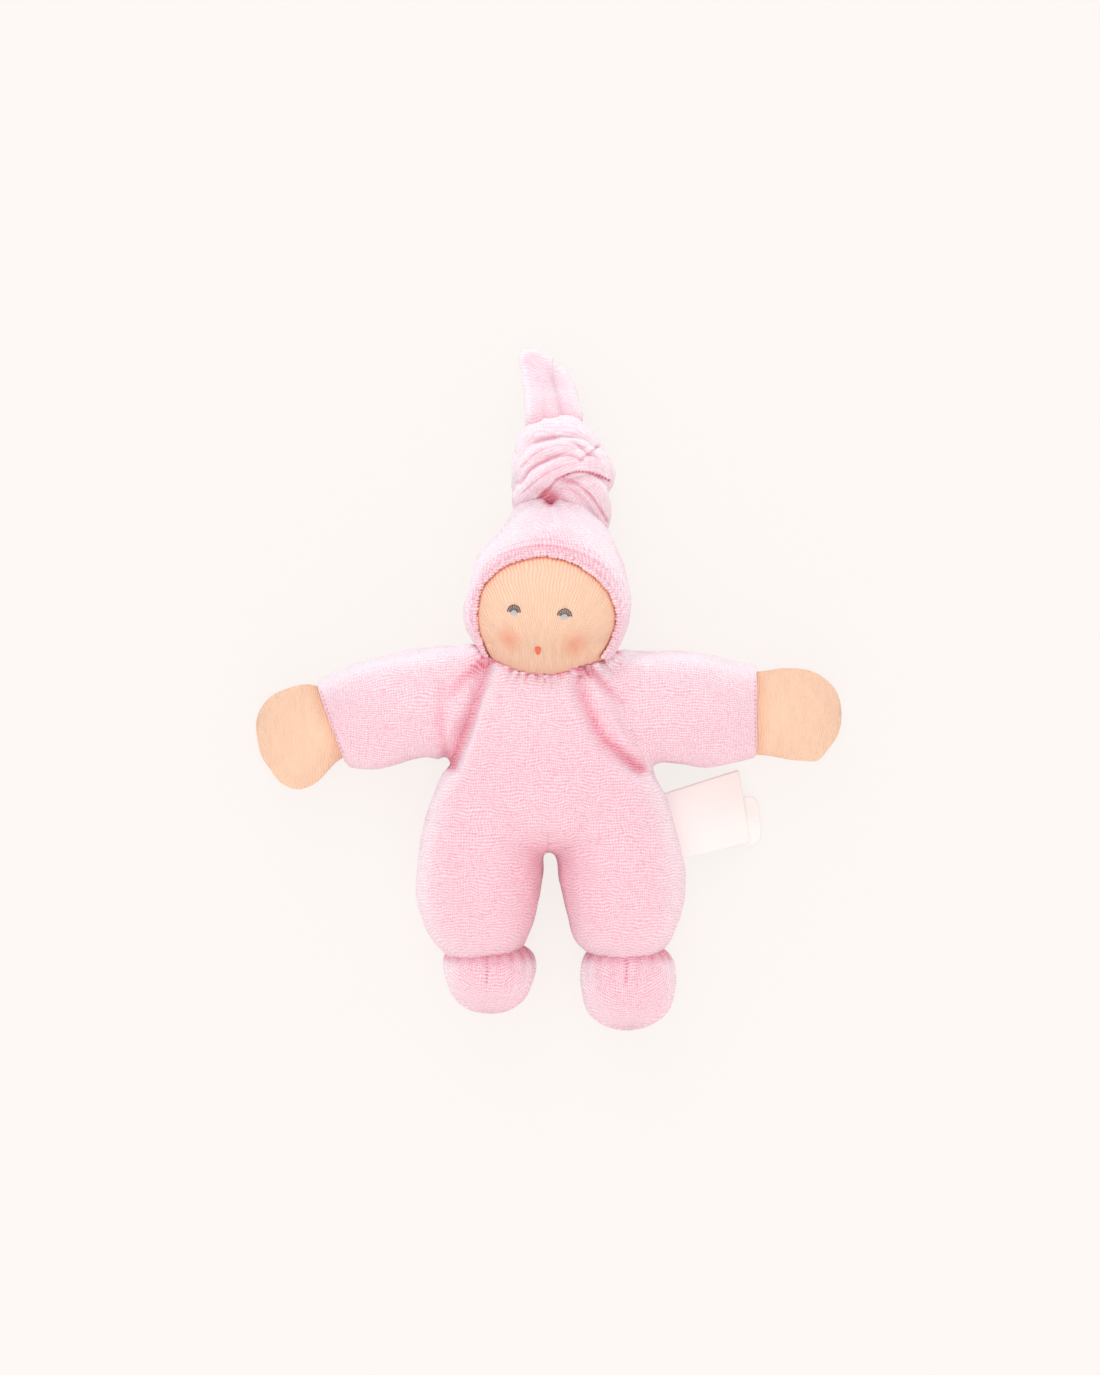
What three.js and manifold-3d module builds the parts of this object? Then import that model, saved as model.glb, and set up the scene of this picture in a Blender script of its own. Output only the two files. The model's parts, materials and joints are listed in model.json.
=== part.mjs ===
// A stuffed cloth doll lying on its back: a one-piece terry suit with sewn-in arms and tied-off feet,
// jersey hands, a jersey-covered wool ball for a head, and a terry cap whose long tip is tied in a knot.
// Millimetres. +Z is up, out of the doll's face, +Y runs to the tip of the cap, and left and right are
// the doll's own. The origin is the middle of the flat on which the back rests.
import * as THREE from "three";
import { mergeVertices } from "three/addons/utils/BufferGeometryUtils.js";
import Module from "manifold-3d";

const wasm = await Module();
wasm.setup();

// Fabrics and fits
const TERRY_WALL = 2.0;
const JERSEY_WALL = 1.0;
const SEWN_GAP = 0.3;
const FILL_GAP = 0.35;
const FLOOR_CUT = 0.5;
const TURNING_GAP = 0.5;

// Trunk, hips and legs of the suit
const TRUNK_LENGTH = 85;
const TRUNK_WIDTH = 95;
const TRUNK_DEPTH = 54;
const CROTCH_Y = -37.5;
const HIP_LINE_Y = -36;
const LEG_LENGTH = 46.5;
const THIGH_RISE = 44;
const LEG_WIDTH = 51.6;
const LEG_DEPTH = 47;
const HIP_SPREAD = 28;
const HIP_HINGE_Z = 47;
const COLLAR_RISE = 4;
const CROTCH_DEPTH_SHARE = 0.9;
const FULL_DEPTH_FROM = 0.4;
const FULL_DEPTH_TO = 0.75;
const THIGH_TOP_SPREAD = 19;
const CALF_SHARE = 0.32;
const LEG_END_Z = 21;

// Feet
const FOOT_DEPTH = 36;
const FOOT_SQUARENESS = 2.05;
const ANKLE_INSET = 4.5;

// Arms and hands
const SHOULDER_X = 35.4;
const SHOULDER_Y = 22.6;
const SHOULDER_RADIUS = 22;
const SEAM_X = 30.4;
const SEAM_ANGLE = 21;
const ARMPIT_Y = -3.3;
const ARM_HINGE_Z = 44;
const WRIST_RADIUS = 17.4;
const WRIST_DEPTH = 32;
const PALM_BALL = 14.4;
const PALM_BALL_DEPTH = 26;
const PALM_HOLE = 6;
const PALM_HEM = 1.5;
const PALM_ROOM = 0.6;
const CUFF_ROOM = 1.4;
const MITT_DEPTH = 28;
const MITT_END_SAG = 0.4;
const ARM_SQUARENESS = 2.1;

// Head, neck and cap
const HEAD_Y = 62.2;
const HEAD_RADIUS = 31;
const NECK_RADIUS = 9;
const NECK_LENGTH = 11;
const NECK_CORD_RADIUS = 1.1;
const NECK_CORD_TURNS = 3;
const CAP_WALL = 1.8;
const CAP_EDGE_DROP = 16;
const CROWN_HEIGHT = 47;
const CROWN_DIP = 9;
const CROWN_LEAN = 2.2;
const CROWN_BEND_FROM = 0.4;
const CROWN_HALFWAY = { lean: 0.6, dip: 0.35 };
const CROWN_GAP = 0.9;
const FACE_WIDTH = 1.794 * HEAD_RADIUS;
const FACE_HEIGHT = 1.503 * HEAD_RADIUS;
const FACE_DROP = 0.119 * HEAD_RADIUS;
const HEM_RADIUS = 1.5;
const FACE_TURN = 6;
const FACE_TILT = 4.5;

// Stitched face
const EYE_SPACING = 21;
const EYE_DROP = 1;
const EYE_WIDTH = 6;
const EYE_HEIGHT = 4.2;
const MOUTH_DROP = 18.3;
const MOUTH_SWEEP_DROP = 28.6;
const MOUTH_WIDTH = 3;
const MOUTH_HEIGHT = 4.2;
const STITCH_HEIGHT = 0.5;
const EYE_LOWER_ARCH = 0.3;
const EYE_CORNER_SHARE = 0.8;
const MOUTH_POINT_SHARE = 0.1;

// Knot and tip of the cap
const KNOT_X = 6.8;
const KNOT_RISE = 10;
const KNOT_Z = 17.2;
const KNOT_WIDTH = 34;
const KNOT_LENGTH = 40;
const KNOT_DEPTH = 34;
const KNOT_START_SHARE = 0.495;
const KNOT_BAND_CENTRE_SHARE = 0.25;
const TIP_PIVOT_DROP = 1;
const TIP_LENGTH = 34.5;
const TIP_WIDTH = 24;
const TIP_DEPTH = 13;
const TIP_CURL = 12;
const TIP_SUNK = 6;
const TIP_X = 3.8;
const TIP_REST_SHARE = 0.3;
const TIP_SQUARENESS = 2.2;
// Along the tip: share of its length, of its curl to the right and of its height at the knot
const TIP_NEAR = { along: 0.4, curl: 0.2, height: 0.7 };
const TIP_FAR = { along: 0.78, curl: 0.46 };
// The rolled edge on the tip's left side: shares of the tip's width, length and depth
const TIP_ROLL = { out: 0.31, rise: 1, length: 0.86, width: 0.36, depth: 1.06 };

// Labels in the left side seam
const LABEL_ROOT_X = 43.5;
const LABEL_ROOT_Y = -13.5;
const LABEL_ROOT_Z = 17;
const LABEL_ANGLE = 17;
const LABEL_DROOP = 21;
const LABEL_ALONG_SEAM = 28.6;
const LABEL_OUT = 38;
const LABEL_THICK = 0.6;
const LABEL_CORNER = 0.8;
const LABEL_GAP = 0.6;
const SMALL_LABEL_DROP = 7;
const SMALL_LABEL_ALONG_SEAM = 18;
const SMALL_LABEL_OUT = 43.5;
const SMALL_LABEL_THICK = 0.4;
const SMALL_LABEL_CORNER = 4;

// How far the joints bend, in degrees, for the room that each smaller piece leaves round its larger neighbour
const HEAD_NOD_BACK = 10;
const WRIST_BEND = 15;
const ANKLE_BEND = 12;
const KNOT_BEND = 15;
const KNOT_BEND_DEPTH = 11;
const LABEL_BEND_UP = 40;
const LABEL_BEND_DOWN = 20;
const TIP_BEND_BACK = 20;
const TIP_BEND_FORWARD = 30;

// What differs between the doll's two sides, as the stuffing and sewing left it
const SIDES = {
  right: {
    sign: -1,
    armDroop: 7.7,
    sleeveLength: 54.1,
    cuffSlant: 12.5,
    mittLength: 30.5,
    mittWidth: 42,
    mittSag: 4.3,
    calfX: 28.6,
    legAnkleX: 24.2,
    footLength: 32,
    footWidth: 37,
    footEndY: -104,
  },
  left: {
    sign: 1,
    armDroop: 4.1,
    sleeveLength: 50,
    cuffSlant: -4,
    mittLength: 35.8,
    mittWidth: 38,
    mittSag: -0.5,
    calfX: 30.9,
    legAnkleX: 32.6,
    footLength: 36.5,
    footWidth: 39.3,
    footEndY: -110.9,
  },
};

// Outlines: [share of the length, share of half the width, share of half the depth]
const TRUNK_OUTLINE = [
  [0, 0, 0],
  [0.035, 0.6, 0.56],
  [0.12, 0.88, 0.8],
  [0.24, 0.95, 0.93],
  [0.39, 0.9, 1],
  [0.57, 0.84, 0.985],
  [0.73, 0.76, 0.94],
  [0.87, 0.63, 0.85],
  [0.965, 0.46, 0.56],
  [1, 0, 0],
];
const LEG_OUTLINE = [
  [0, 0, 0],
  [0.03, 0.5, 0.5],
  [0.12, 0.8, 0.84],
  [0.27, 0.95, 0.97],
  [0.486, 1, 1],
  [0.67, 0.99, 0.99],
  [0.767, 0.95, 0.97],
  [0.857, 0.84, 0.91],
  [0.91, 0.73, 0.84],
  [0.955, 0.56, 0.7],
  [0.985, 0.34, 0.44],
  [1, 0, 0],
];
// From the toes up to the ankle
const FOOT_OUTLINE = [
  [0, 0, 0],
  [0.06, 0.5, 0.5],
  [0.2, 0.79, 0.8],
  [0.4, 0.97, 0.97],
  [0.62, 1, 1],
  [0.84, 0.88, 0.88],
  [0.96, 0.5, 0.5],
  [1, 0, 0],
];
const KNOT_OUTLINE = [
  [0, 0, 0],
  [0.05, 0.5, 0.5],
  [0.25, 0.9, 0.9],
  [0.5, 1, 1],
  [0.75, 0.9, 0.9],
  [0.95, 0.5, 0.5],
  [1, 0, 0],
];
// The knot's strands: their thickness and width as shares of the knot's width, and their middle lines as
// shares of half its width, length and depth, from its centre
const KNOT_STRANDS = {
  overTheTop: {
    thick: 0.29,
    wide: 0.28,
    line: [
      [-0.94, -0.05, -0.29],
      [-0.97, 0.32, 0.24],
      [-0.65, 0.66, 0.59],
      [-0.18, 0.75, 0.71],
      [0.35, 0.7, 0.65],
      [0.76, 0.42, 0.35],
      [0.91, 0, -0.18],
    ],
  },
  tuckedUnderTheLobe: {
    thick: 0.26,
    wide: 0.26,
    line: [
      [-0.97, -0.21, -0.18],
      [-0.85, 0.13, 0.47],
      [-0.41, 0.34, 0.76],
      [0.06, 0.42, 0.85],
      [0.53, 0.29, 0.65],
    ],
  },
  acrossTheFront: {
    thick: 0.29,
    wide: 0.38,
    line: [
      [-0.82, -0.84, -0.35],
      [-0.88, -0.55, 0.29],
      [-0.53, -0.32, 0.74],
      [-0.06, -0.08, 0.88],
      [0.41, 0.08, 0.76],
      [0.71, 0.11, 0.41],
    ],
  },
  leftLobe: {
    thick: 0.35,
    wide: 0.35,
    line: [
      [0.53, 0.34, 0.18],
      [0.82, 0.13, 0.47],
      [0.91, -0.26, 0.53],
      [0.88, -0.63, 0.35],
      [0.71, -0.95, -0.12],
    ],
  },
  footOfTheLobe: {
    thick: 0.26,
    wide: 0.29,
    line: [
      [-0.12, -0.32, 0.53],
      [0.18, -0.55, 0.74],
      [0.53, -0.76, 0.56],
      [0.79, -1, 0.18],
      [0.76, -1.05, -0.35],
    ],
  },
};
const TIP_OUTLINE = [
  [0, 0, 0],
  [0.03, 0.55, 0.6],
  [0.14, 0.94, 1],
  [0.3, 1, 0.98],
  [0.5, 0.95, 0.86],
  [0.7, 0.82, 0.66],
  [0.84, 0.6, 0.46],
  [0.96, 0.24, 0.26],
  [1, 0, 0],
];
// Beyond the palm's ball: the mitten's share of its length, of half its width and of half its depth
const MITT_OUTLINE = [
  [0.2, 0.88, 0.95],
  [0.42, 1, 1],
  [0.62, 0.95, 0.9],
  [0.82, 0.74, 0.68],
  [0.95, 0.4, 0.38],
  [1, 0, 0],
];
// From the shoulder to the cuff: share of the length, and how near the width and depth still are to those
// of the shoulder
const SLEEVE_OUTLINE = [
  [0.28, 1.02, 0.97],
  [0.56, 0.98, 0.86],
  [0.8, 0.7, 0.5],
  [1, 0, 0],
];
// Above the cap's equator: share of the crown's height, share of the cap's radius
const CROWN_OUTLINE = [
  [0.2, 0.955],
  [0.37, 0.885],
  [0.55, 0.72],
  [0.64, 0.605],
  [0.75, 0.52],
  [0.86, 0.45],
  [0.95, 0.32],
  [1, 0],
];

const degrees = THREE.MathUtils.degToRad;
const material = (name, color, roughness) =>
  new THREE.MeshStandardMaterial({ name, color, roughness, metalness: 0 });
const terry = material("pink_terry", 0xf7d0db, 0.95);
const jersey = material("skin_jersey", 0xf6cfae, 0.85);
const wool = material("wool_fill", 0xf3ead8, 1);
const cord = material("neck_cord", 0xece2cf, 0.8);
const eyeFloss = material("eye_floss", 0x56565c, 0.6);
const mouthFloss = material("mouth_floss", 0xd9603f, 0.6);
const satin = material("label_satin", 0xfbf1ee, 0.55);

const X_AXIS = new THREE.Vector3(1, 0, 0);
const Z_AXIS = new THREE.Vector3(0, 0, 1);

// How finely an outline is measured, how near a pole its rows may come, and a band's rounded ends
const OUTLINE_STEPS = 600;
const ROW_SPACING = 0.4;
const BAND_ROUNDING = 0.06;
const BAND_END = 0.012;

// The power of a round section, and how many facets round bodies have
const ROUND = 2;
const SEAT_FACETS = 28;
const PALM_FACETS = 14;

// The closed ends of a ball, as shares of its radius from the pole to the widest place
const BALL_SHARES = [-0.94, -0.75, -0.5, -0.25, 0];

// Solids

function solidOf(positions, triangles) {
  const geometry = new THREE.BufferGeometry();
  geometry.setAttribute("position", new THREE.Float32BufferAttribute(positions, 3));
  geometry.setIndex(triangles);
  return solidFrom(geometry);
}

function solidFrom(geometry) {
  const bare = geometry.clone();
  for (const name of Object.keys(bare.attributes)) {
    if (name !== "position") bare.deleteAttribute(name);
  }
  const merged = mergeVertices(bare, 1e-4);
  return new wasm.Manifold(
    new wasm.Mesh({
      numProp: 3,
      vertProperties: new Float32Array(merged.attributes.position.array),
      triVerts: new Uint32Array(merged.index.array),
    }),
  );
}

function moved(solid, matrix) {
  return solid.transform(matrix.elements);
}

function joined(solids) {
  return solids.reduce((whole, next) => whole.add(next));
}

function cutBy(solid, cutters) {
  return cutters.reduce((left, cutter) => left.subtract(cutter), solid);
}

// A box from one corner to the other, as a solid.
function block(low, high) {
  const size = high.clone().sub(low);
  const middle = low.clone().add(high).multiplyScalar(0.5);
  return solidFrom(new THREE.BoxGeometry(size.x, size.y, size.z).translate(middle.x, middle.y, middle.z));
}

const FAR = 400;
const floorBlock = block(new THREE.Vector3(-FAR, -FAR, -FAR), new THREE.Vector3(FAR, FAR, 0));

// Everything on the far side of a plane through a point, where the normal points.
function halfSpace(point, normal) {
  const turn = new THREE.Quaternion().setFromUnitVectors(Z_AXIS, normal.clone().normalize());
  const place = new THREE.Matrix4().compose(point, turn, new THREE.Vector3(1, 1, 1));
  return moved(block(new THREE.Vector3(-FAR, -FAR, 0), new THREE.Vector3(FAR, FAR, FAR)), place);
}

function ball(radius, centre, around = 32) {
  const sphere = new THREE.SphereGeometry(radius, around, around / 2).rotateX(Math.PI / 2);
  return solidFrom(sphere.translate(centre.x, centre.y, centre.z));
}

// A closed skin over rings of points, each ring the same number of points, with a pole at both ends.
function skinOver(rings, firstPole, lastPole) {
  const around = rings[0].length;
  const points = [firstPole, ...rings.flat(), lastPole];
  const last = points.length - 1;
  const triangles = [];
  for (let j = 0; j < around; j++) {
    const next = (j + 1) % around;
    triangles.push(0, 1 + j, 1 + next);
    for (let i = 0; i < rings.length - 1; i++) {
      const low = 1 + i * around;
      const high = low + around;
      triangles.push(low + j, high + j, low + next);
      triangles.push(high + j, high + next, low + next);
    }
    const top = 1 + (rings.length - 1) * around;
    triangles.push(top + j, last, top + next);
  }
  return solidOf(points.flatMap((p) => [p.x, p.y, p.z]), triangles);
}

// The middle of a stuffed shape, smooth through rows of [along, x, z].
function middleLine(rows) {
  const last = rows.length - 1;
  const slopeAt = (i, k) => {
    const before = rows[Math.max(0, i - 1)];
    const after = rows[Math.min(last, i + 1)];
    return (after[k] - before[k]) / (after[0] - before[0]);
  };
  return (along) => {
    const passed = rows.filter(([start]) => start < along).length - 1;
    const i = THREE.MathUtils.clamp(passed, 0, last - 1);
    const span = rows[i + 1][0] - rows[i][0];
    const t = THREE.MathUtils.clamp((along - rows[i][0]) / span, 0, 1);
    const blend = t * t * (3 - 2 * t);
    const leave = t * (1 - t) ** 2 * span;
    const arrive = t * t * (1 - t) * span;
    const valueOf = (k) => {
      const straight = THREE.MathUtils.lerp(rows[i][k], rows[i + 1][k], blend);
      return straight + slopeAt(i, k) * leave - slopeAt(i + 1, k) * arrive;
    };
    return [valueOf(1), valueOf(2)];
  };
}

// A stuffed shape along +Y: rows of [along, half width, half depth] from pole to pole, rounded through
// the rows and round the poles, with a superellipse for its section.
function stuffed(rows, middleAt, { rings, around, squareness = 2.25, shrink = 0 }) {
  const outward = rows.map(([along, wide, deep]) => new THREE.Vector3(along, wide, deep));
  const back = outward.slice(1, -1).reverse().map((p) => new THREE.Vector3(p.x, -p.y, -p.z));
  const outline = new THREE.CatmullRomCurve3([...outward, ...back], true, "centripetal");
  outline.arcLengthDivisions = OUTLINE_STEPS;
  const power = 2 / squareness;
  const bend = (value) => Math.sign(value) * Math.abs(value) ** power;
  const ends = [rows[0][0], rows[rows.length - 1][0]];
  const halfway = (ends[0] + ends[1]) / 2;
  const squeeze = 1 - (2 * shrink) / (ends[1] - ends[0]);
  const placed = (along, wide, deep, turn) => {
    const [x, z] = middleAt(along);
    const y = halfway + (along - halfway) * squeeze;
    return new THREE.Vector3(x + wide * bend(Math.cos(turn)), y, z + deep * bend(Math.sin(turn)));
  };
  const made = [];
  for (let i = 1; i < rings; i++) {
    const { x: along, y: wide, z: deep } = outline.getPointAt(i / rings / 2);
    const [w, d] = [Math.abs(wide) - shrink, Math.abs(deep) - shrink];
    made.push(Array.from({ length: around }, (_, j) => placed(along, w, d, (j / around) * 2 * Math.PI)));
  }
  return skinOver(made, placed(ends[0], 0, 0, 0), placed(ends[1], 0, 0, 0));
}

// The same rows drawn in by a thickness all round.
function drawnIn(rows, thickness) {
  const last = rows.length - 1;
  const inner = rows
    .slice(1, last)
    .map(([along, wide, deep]) => [along, wide - thickness, deep - thickness])
    .filter(([, wide, deep]) => wide > thickness && deep > thickness);
  const near = rows[0][0] + thickness;
  const far = rows[last][0] - thickness;
  const between = inner.filter(([along]) => along > near + ROW_SPACING && along < far - ROW_SPACING);
  return [[near, 0, 0], ...between, [far, 0, 0]];
}

const scaledRows = (outline, start, length, width, depth) =>
  outline.map(([along, wide, deep]) => [start + along * length, (wide * width) / 2, (deep * depth) / 2]);

// A band of cloth along a curve, thick away from a centre and wide across it, with rounded ends.
function bandAlong(curve, centre, thick, wide, { steps, around }) {
  const rings = [];
  for (let i = 0; i <= steps; i++) {
    const u = THREE.MathUtils.lerp(BAND_END, 1 - BAND_END, i / steps);
    const point = curve.getPointAt(u);
    const along = curve.getTangentAt(u);
    const out = point.clone().sub(centre);
    out.addScaledVector(along, -out.dot(along)).normalize();
    const across = new THREE.Vector3().crossVectors(along, out);
    const toEnd = Math.min(1, Math.min(u, 1 - u) / BAND_ROUNDING);
    const size = Math.sqrt(1 - (1 - toEnd) ** 2);
    rings.push(
      Array.from({ length: around }, (_, j) => {
        const turn = (-j / around) * 2 * Math.PI;
        return point
          .clone()
          .addScaledVector(out, (Math.cos(turn) * size * thick) / 2)
          .addScaledVector(across, (Math.sin(turn) * size * wide) / 2);
      }),
    );
  }
  return skinOver(rings, curve.getPointAt(0), curve.getPointAt(1));
}

// The pieces that turn together are a group at their joint, one inside the other.

const doll = new THREE.Group();

function jointGroup(parent, at) {
  const group = new THREE.Group();
  parent.add(group);
  group.position.copy(parent.worldToLocal(at.clone()));
  doll.updateMatrixWorld(true);
  return group;
}

function addPiece(group, name, solid, finish) {
  const mesh = solid.getMesh();
  const geometry = new THREE.BufferGeometry();
  const positions = new Float32Array(mesh.numVert * 3);
  for (let i = 0; i < mesh.numVert; i++) {
    positions.set(mesh.vertProperties.subarray(i * mesh.numProp, i * mesh.numProp + 3), i * 3);
  }
  geometry.setAttribute("position", new THREE.BufferAttribute(positions, 3));
  geometry.setIndex(new THREE.BufferAttribute(mesh.triVerts, 1));
  geometry.applyMatrix4(group.matrixWorld.clone().invert());
  geometry.computeVertexNormals();
  const piece = new THREE.Mesh(geometry, finish);
  piece.name = name;
  group.add(piece);
  return piece;
}

// A solid in every place that it takes as a joint at a point turns it through some angles, joined.
function swept(solid, pivot, axis, angles) {
  return joined(
    angles.map((angle) => {
      const turn = new THREE.Matrix4().makeRotationAxis(axis, degrees(angle));
      const place = new THREE.Matrix4().makeTranslation(pivot).multiply(turn);
      return moved(solid, place.multiply(new THREE.Matrix4().makeTranslation(pivot.clone().negate())));
    }),
  );
}

// How high the middle of a shape of some depth lies, sunk into the floor by the flat on which it rests
const above = (depth) => depth / 2 - FLOOR_CUT;

// Head

const CAP_RADIUS = HEAD_RADIUS + 3 * SEWN_GAP + CAP_WALL;
const headCentre = new THREE.Vector3(0, HEAD_Y, CAP_RADIUS - FLOOR_CUT);
const crownTop = new THREE.Vector3(CROWN_LEAN, HEAD_Y + CROWN_HEIGHT, headCentre.z - CROWN_DIP);

function cylinderAlongY(radius, from, to, centre, around) {
  const length = to - from;
  const tube = new THREE.CylinderGeometry(radius, radius, length, around);
  return solidFrom(tube.translate(centre.x, (from + to) / 2, centre.z));
}

const crownMiddle = middleLine([
  [HEAD_Y - CAP_RADIUS, headCentre.x, headCentre.z],
  [HEAD_Y + CAP_RADIUS * CROWN_BEND_FROM, headCentre.x, headCentre.z],
  [HEAD_Y + CAP_RADIUS, CROWN_LEAN * CROWN_HALFWAY.lean, headCentre.z - CROWN_DIP * CROWN_HALFWAY.dip],
  [crownTop.y, crownTop.x, crownTop.z],
]);

function capShape(drawn, options) {
  const radius = CAP_RADIUS - drawn;
  const sphere = BALL_SHARES.map((share) => {
    const along = share * radius;
    const wide = Math.sqrt(radius ** 2 - along ** 2);
    return [HEAD_Y + along, wide, wide];
  });
  const crown = CROWN_OUTLINE.map(([rise, share]) => {
    const wide = Math.max(0, share * CAP_RADIUS - (share ? drawn : 0));
    return [HEAD_Y + rise * (CROWN_HEIGHT - drawn), wide, wide];
  });
  const rows = [[HEAD_Y - radius, 0, 0], ...sphere, ...crown];
  return stuffed(rows, crownMiddle, { squareness: ROUND, ...options });
}

// The face shows through an oval, seen from the front.
function facePrism(grow) {
  const oval = new THREE.Shape().absellipse(
    headCentre.x,
    headCentre.y - FACE_DROP,
    FACE_WIDTH / 2 + grow,
    FACE_HEIGHT / 2 + grow,
    0,
    2 * Math.PI,
    false,
    0,
  );
  const prism = new THREE.ExtrudeGeometry(oval, { depth: FAR, bevelEnabled: false, curveSegments: 32 });
  return solidFrom(prism.translate(0, 0, headCentre.z));
}

// The rolled hem follows the oval over the head from one lower edge of the cap to the other.
const HEM_POINTS = 22;

function capHem() {
  const half = (value) => value / 2 + HEM_RADIUS;
  const reach = HEAD_RADIUS + SEWN_GAP + HEM_RADIUS;
  const lowest = -CAP_EDGE_DROP + FACE_DROP + HEM_RADIUS + SEWN_GAP;
  const start = Math.asin(lowest / half(FACE_HEIGHT));
  const points = [];
  for (let i = 0; i <= HEM_POINTS; i++) {
    const turn = THREE.MathUtils.lerp(start, Math.PI - start, i / HEM_POINTS);
    const x = half(FACE_WIDTH) * Math.cos(turn);
    const y = -FACE_DROP + half(FACE_HEIGHT) * Math.sin(turn);
    const z = Math.sqrt(Math.max(1, reach ** 2 - x ** 2 - y ** 2));
    points.push(new THREE.Vector3(x, y, z).setLength(reach).add(headCentre));
  }
  const size = 2 * HEM_RADIUS;
  return bandAlong(new THREE.CatmullRomCurve3(points), headCentre, size, size, { steps: 36, around: 6 });
}

// A flat stitched pad on the face, at a place seen from the front when the face looks straight ahead.
function stitchedPad(outline, x, y) {
  const settings = { depth: STITCH_HEIGHT, bevelEnabled: false, curveSegments: 8 };
  const pad = new THREE.ExtrudeGeometry(outline, settings);
  const out = new THREE.Vector3(x, y, Math.sqrt(HEAD_RADIUS ** 2 - x ** 2 - y ** 2));
  const turn = new THREE.Quaternion().setFromUnitVectors(Z_AXIS, out.clone().normalize());
  const seat = out.setLength(HEAD_RADIUS + SEWN_GAP);
  const face = new THREE.Euler(0, -degrees(FACE_TURN), -degrees(FACE_TILT), "YZX");
  const place = new THREE.Matrix4()
    .makeTranslation(headCentre)
    .multiply(new THREE.Matrix4().makeRotationFromEuler(face))
    .multiply(new THREE.Matrix4().compose(seat, turn, new THREE.Vector3(1, 1, 1)));
  return moved(solidFrom(pad), place);
}

function eyeOutline() {
  const half = EYE_WIDTH / 2;
  const corner = half * EYE_CORNER_SHARE;
  const eye = new THREE.Shape();
  eye.moveTo(-half, -EYE_HEIGHT / 2);
  eye.quadraticCurveTo(0, -EYE_HEIGHT * EYE_LOWER_ARCH, half, -EYE_HEIGHT / 2);
  eye.quadraticCurveTo(corner, EYE_HEIGHT / 2, 0, EYE_HEIGHT / 2);
  eye.quadraticCurveTo(-corner, EYE_HEIGHT / 2, -half, -EYE_HEIGHT / 2);
  return eye;
}

function mouthOutline() {
  const half = MOUTH_WIDTH / 2;
  const mouth = new THREE.Shape();
  mouth.moveTo(-half, MOUTH_HEIGHT / 2);
  mouth.quadraticCurveTo(-half, -MOUTH_HEIGHT * MOUTH_POINT_SHARE, 0, -MOUTH_HEIGHT / 2);
  mouth.quadraticCurveTo(half, -MOUTH_HEIGHT * MOUTH_POINT_SHARE, half, MOUTH_HEIGHT / 2);
  return mouth;
}

// Trunk, legs and feet

const trunkTopY = CROTCH_Y + TRUNK_LENGTH;

function trunkShape(drawn, options) {
  const rows = scaledRows(TRUNK_OUTLINE, CROTCH_Y, TRUNK_LENGTH, TRUNK_WIDTH, TRUNK_DEPTH);
  const middle = middleLine([
    [CROTCH_Y, 0, above(TRUNK_DEPTH * CROTCH_DEPTH_SHARE)],
    [CROTCH_Y + TRUNK_LENGTH * FULL_DEPTH_FROM, 0, above(TRUNK_DEPTH)],
    [CROTCH_Y + TRUNK_LENGTH * FULL_DEPTH_TO, 0, above(TRUNK_DEPTH)],
    [trunkTopY, 0, above(TRUNK_DEPTH) + COLLAR_RISE],
  ]);
  return stuffed(drawn ? drawnIn(rows, drawn) : rows, middle, options);
}

// A leg with its root inside the trunk, laid out upwards from the ankle to the root.
function legShape(side, drawn, options) {
  const start = HIP_LINE_Y - LEG_LENGTH;
  const upwards = LEG_OUTLINE.map(([along, wide, deep]) => [1 - along, wide, deep]).reverse();
  const rows = scaledRows(upwards, start, THIGH_RISE + LEG_LENGTH, LEG_WIDTH, LEG_DEPTH);
  const middle = middleLine([
    [start, side.sign * side.legAnkleX, LEG_END_Z],
    [start + LEG_LENGTH * CALF_SHARE, side.sign * side.calfX, above(LEG_DEPTH)],
    [HIP_LINE_Y, side.sign * HIP_SPREAD, above(LEG_DEPTH)],
    [HIP_LINE_Y + THIGH_RISE, side.sign * THIGH_TOP_SPREAD, above(LEG_DEPTH)],
  ]);
  return stuffed(drawn ? drawnIn(rows, drawn) : rows, middle, options);
}

function ankleOf(side) {
  return new THREE.Vector3(side.sign * side.legAnkleX, HIP_LINE_Y - LEG_LENGTH + ANKLE_INSET, FOOT_DEPTH / 2);
}

function footShape(side, drawn, options) {
  const rows = scaledRows(FOOT_OUTLINE, side.footEndY, side.footLength, side.footWidth, FOOT_DEPTH);
  const middle = () => [side.sign * side.legAnkleX, above(FOOT_DEPTH)];
  return stuffed(drawn ? drawnIn(rows, drawn) : rows, middle, { squareness: FOOT_SQUARENESS, ...options });
}

// Arms and hands, laid out along +Y with +X at the arm's upper side, then turned to their place

function shoulderOf(side) {
  return new THREE.Vector3(side.sign * SHOULDER_X, SHOULDER_Y, SHOULDER_RADIUS - FLOOR_CUT);
}

function armPlace(side) {
  const along = new THREE.Vector3(side.sign, -Math.tan(degrees(side.armDroop)), 0).normalize();
  const upper = new THREE.Vector3(-along.y * side.sign, along.x * side.sign, 0);
  const height = new THREE.Vector3().crossVectors(upper, along);
  return new THREE.Matrix4().makeBasis(upper, along, height).setPosition(shoulderOf(side));
}

// In the arm's own layout the front of the doll is up or down, by the side.
const frontOf = (side) => -side.sign;
const heightChange = (side, depth) => frontOf(side) * (above(depth) - above(2 * SHOULDER_RADIUS));

function wristOf(side) {
  return new THREE.Vector3(0, side.sleeveLength, heightChange(side, WRIST_DEPTH));
}

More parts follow.
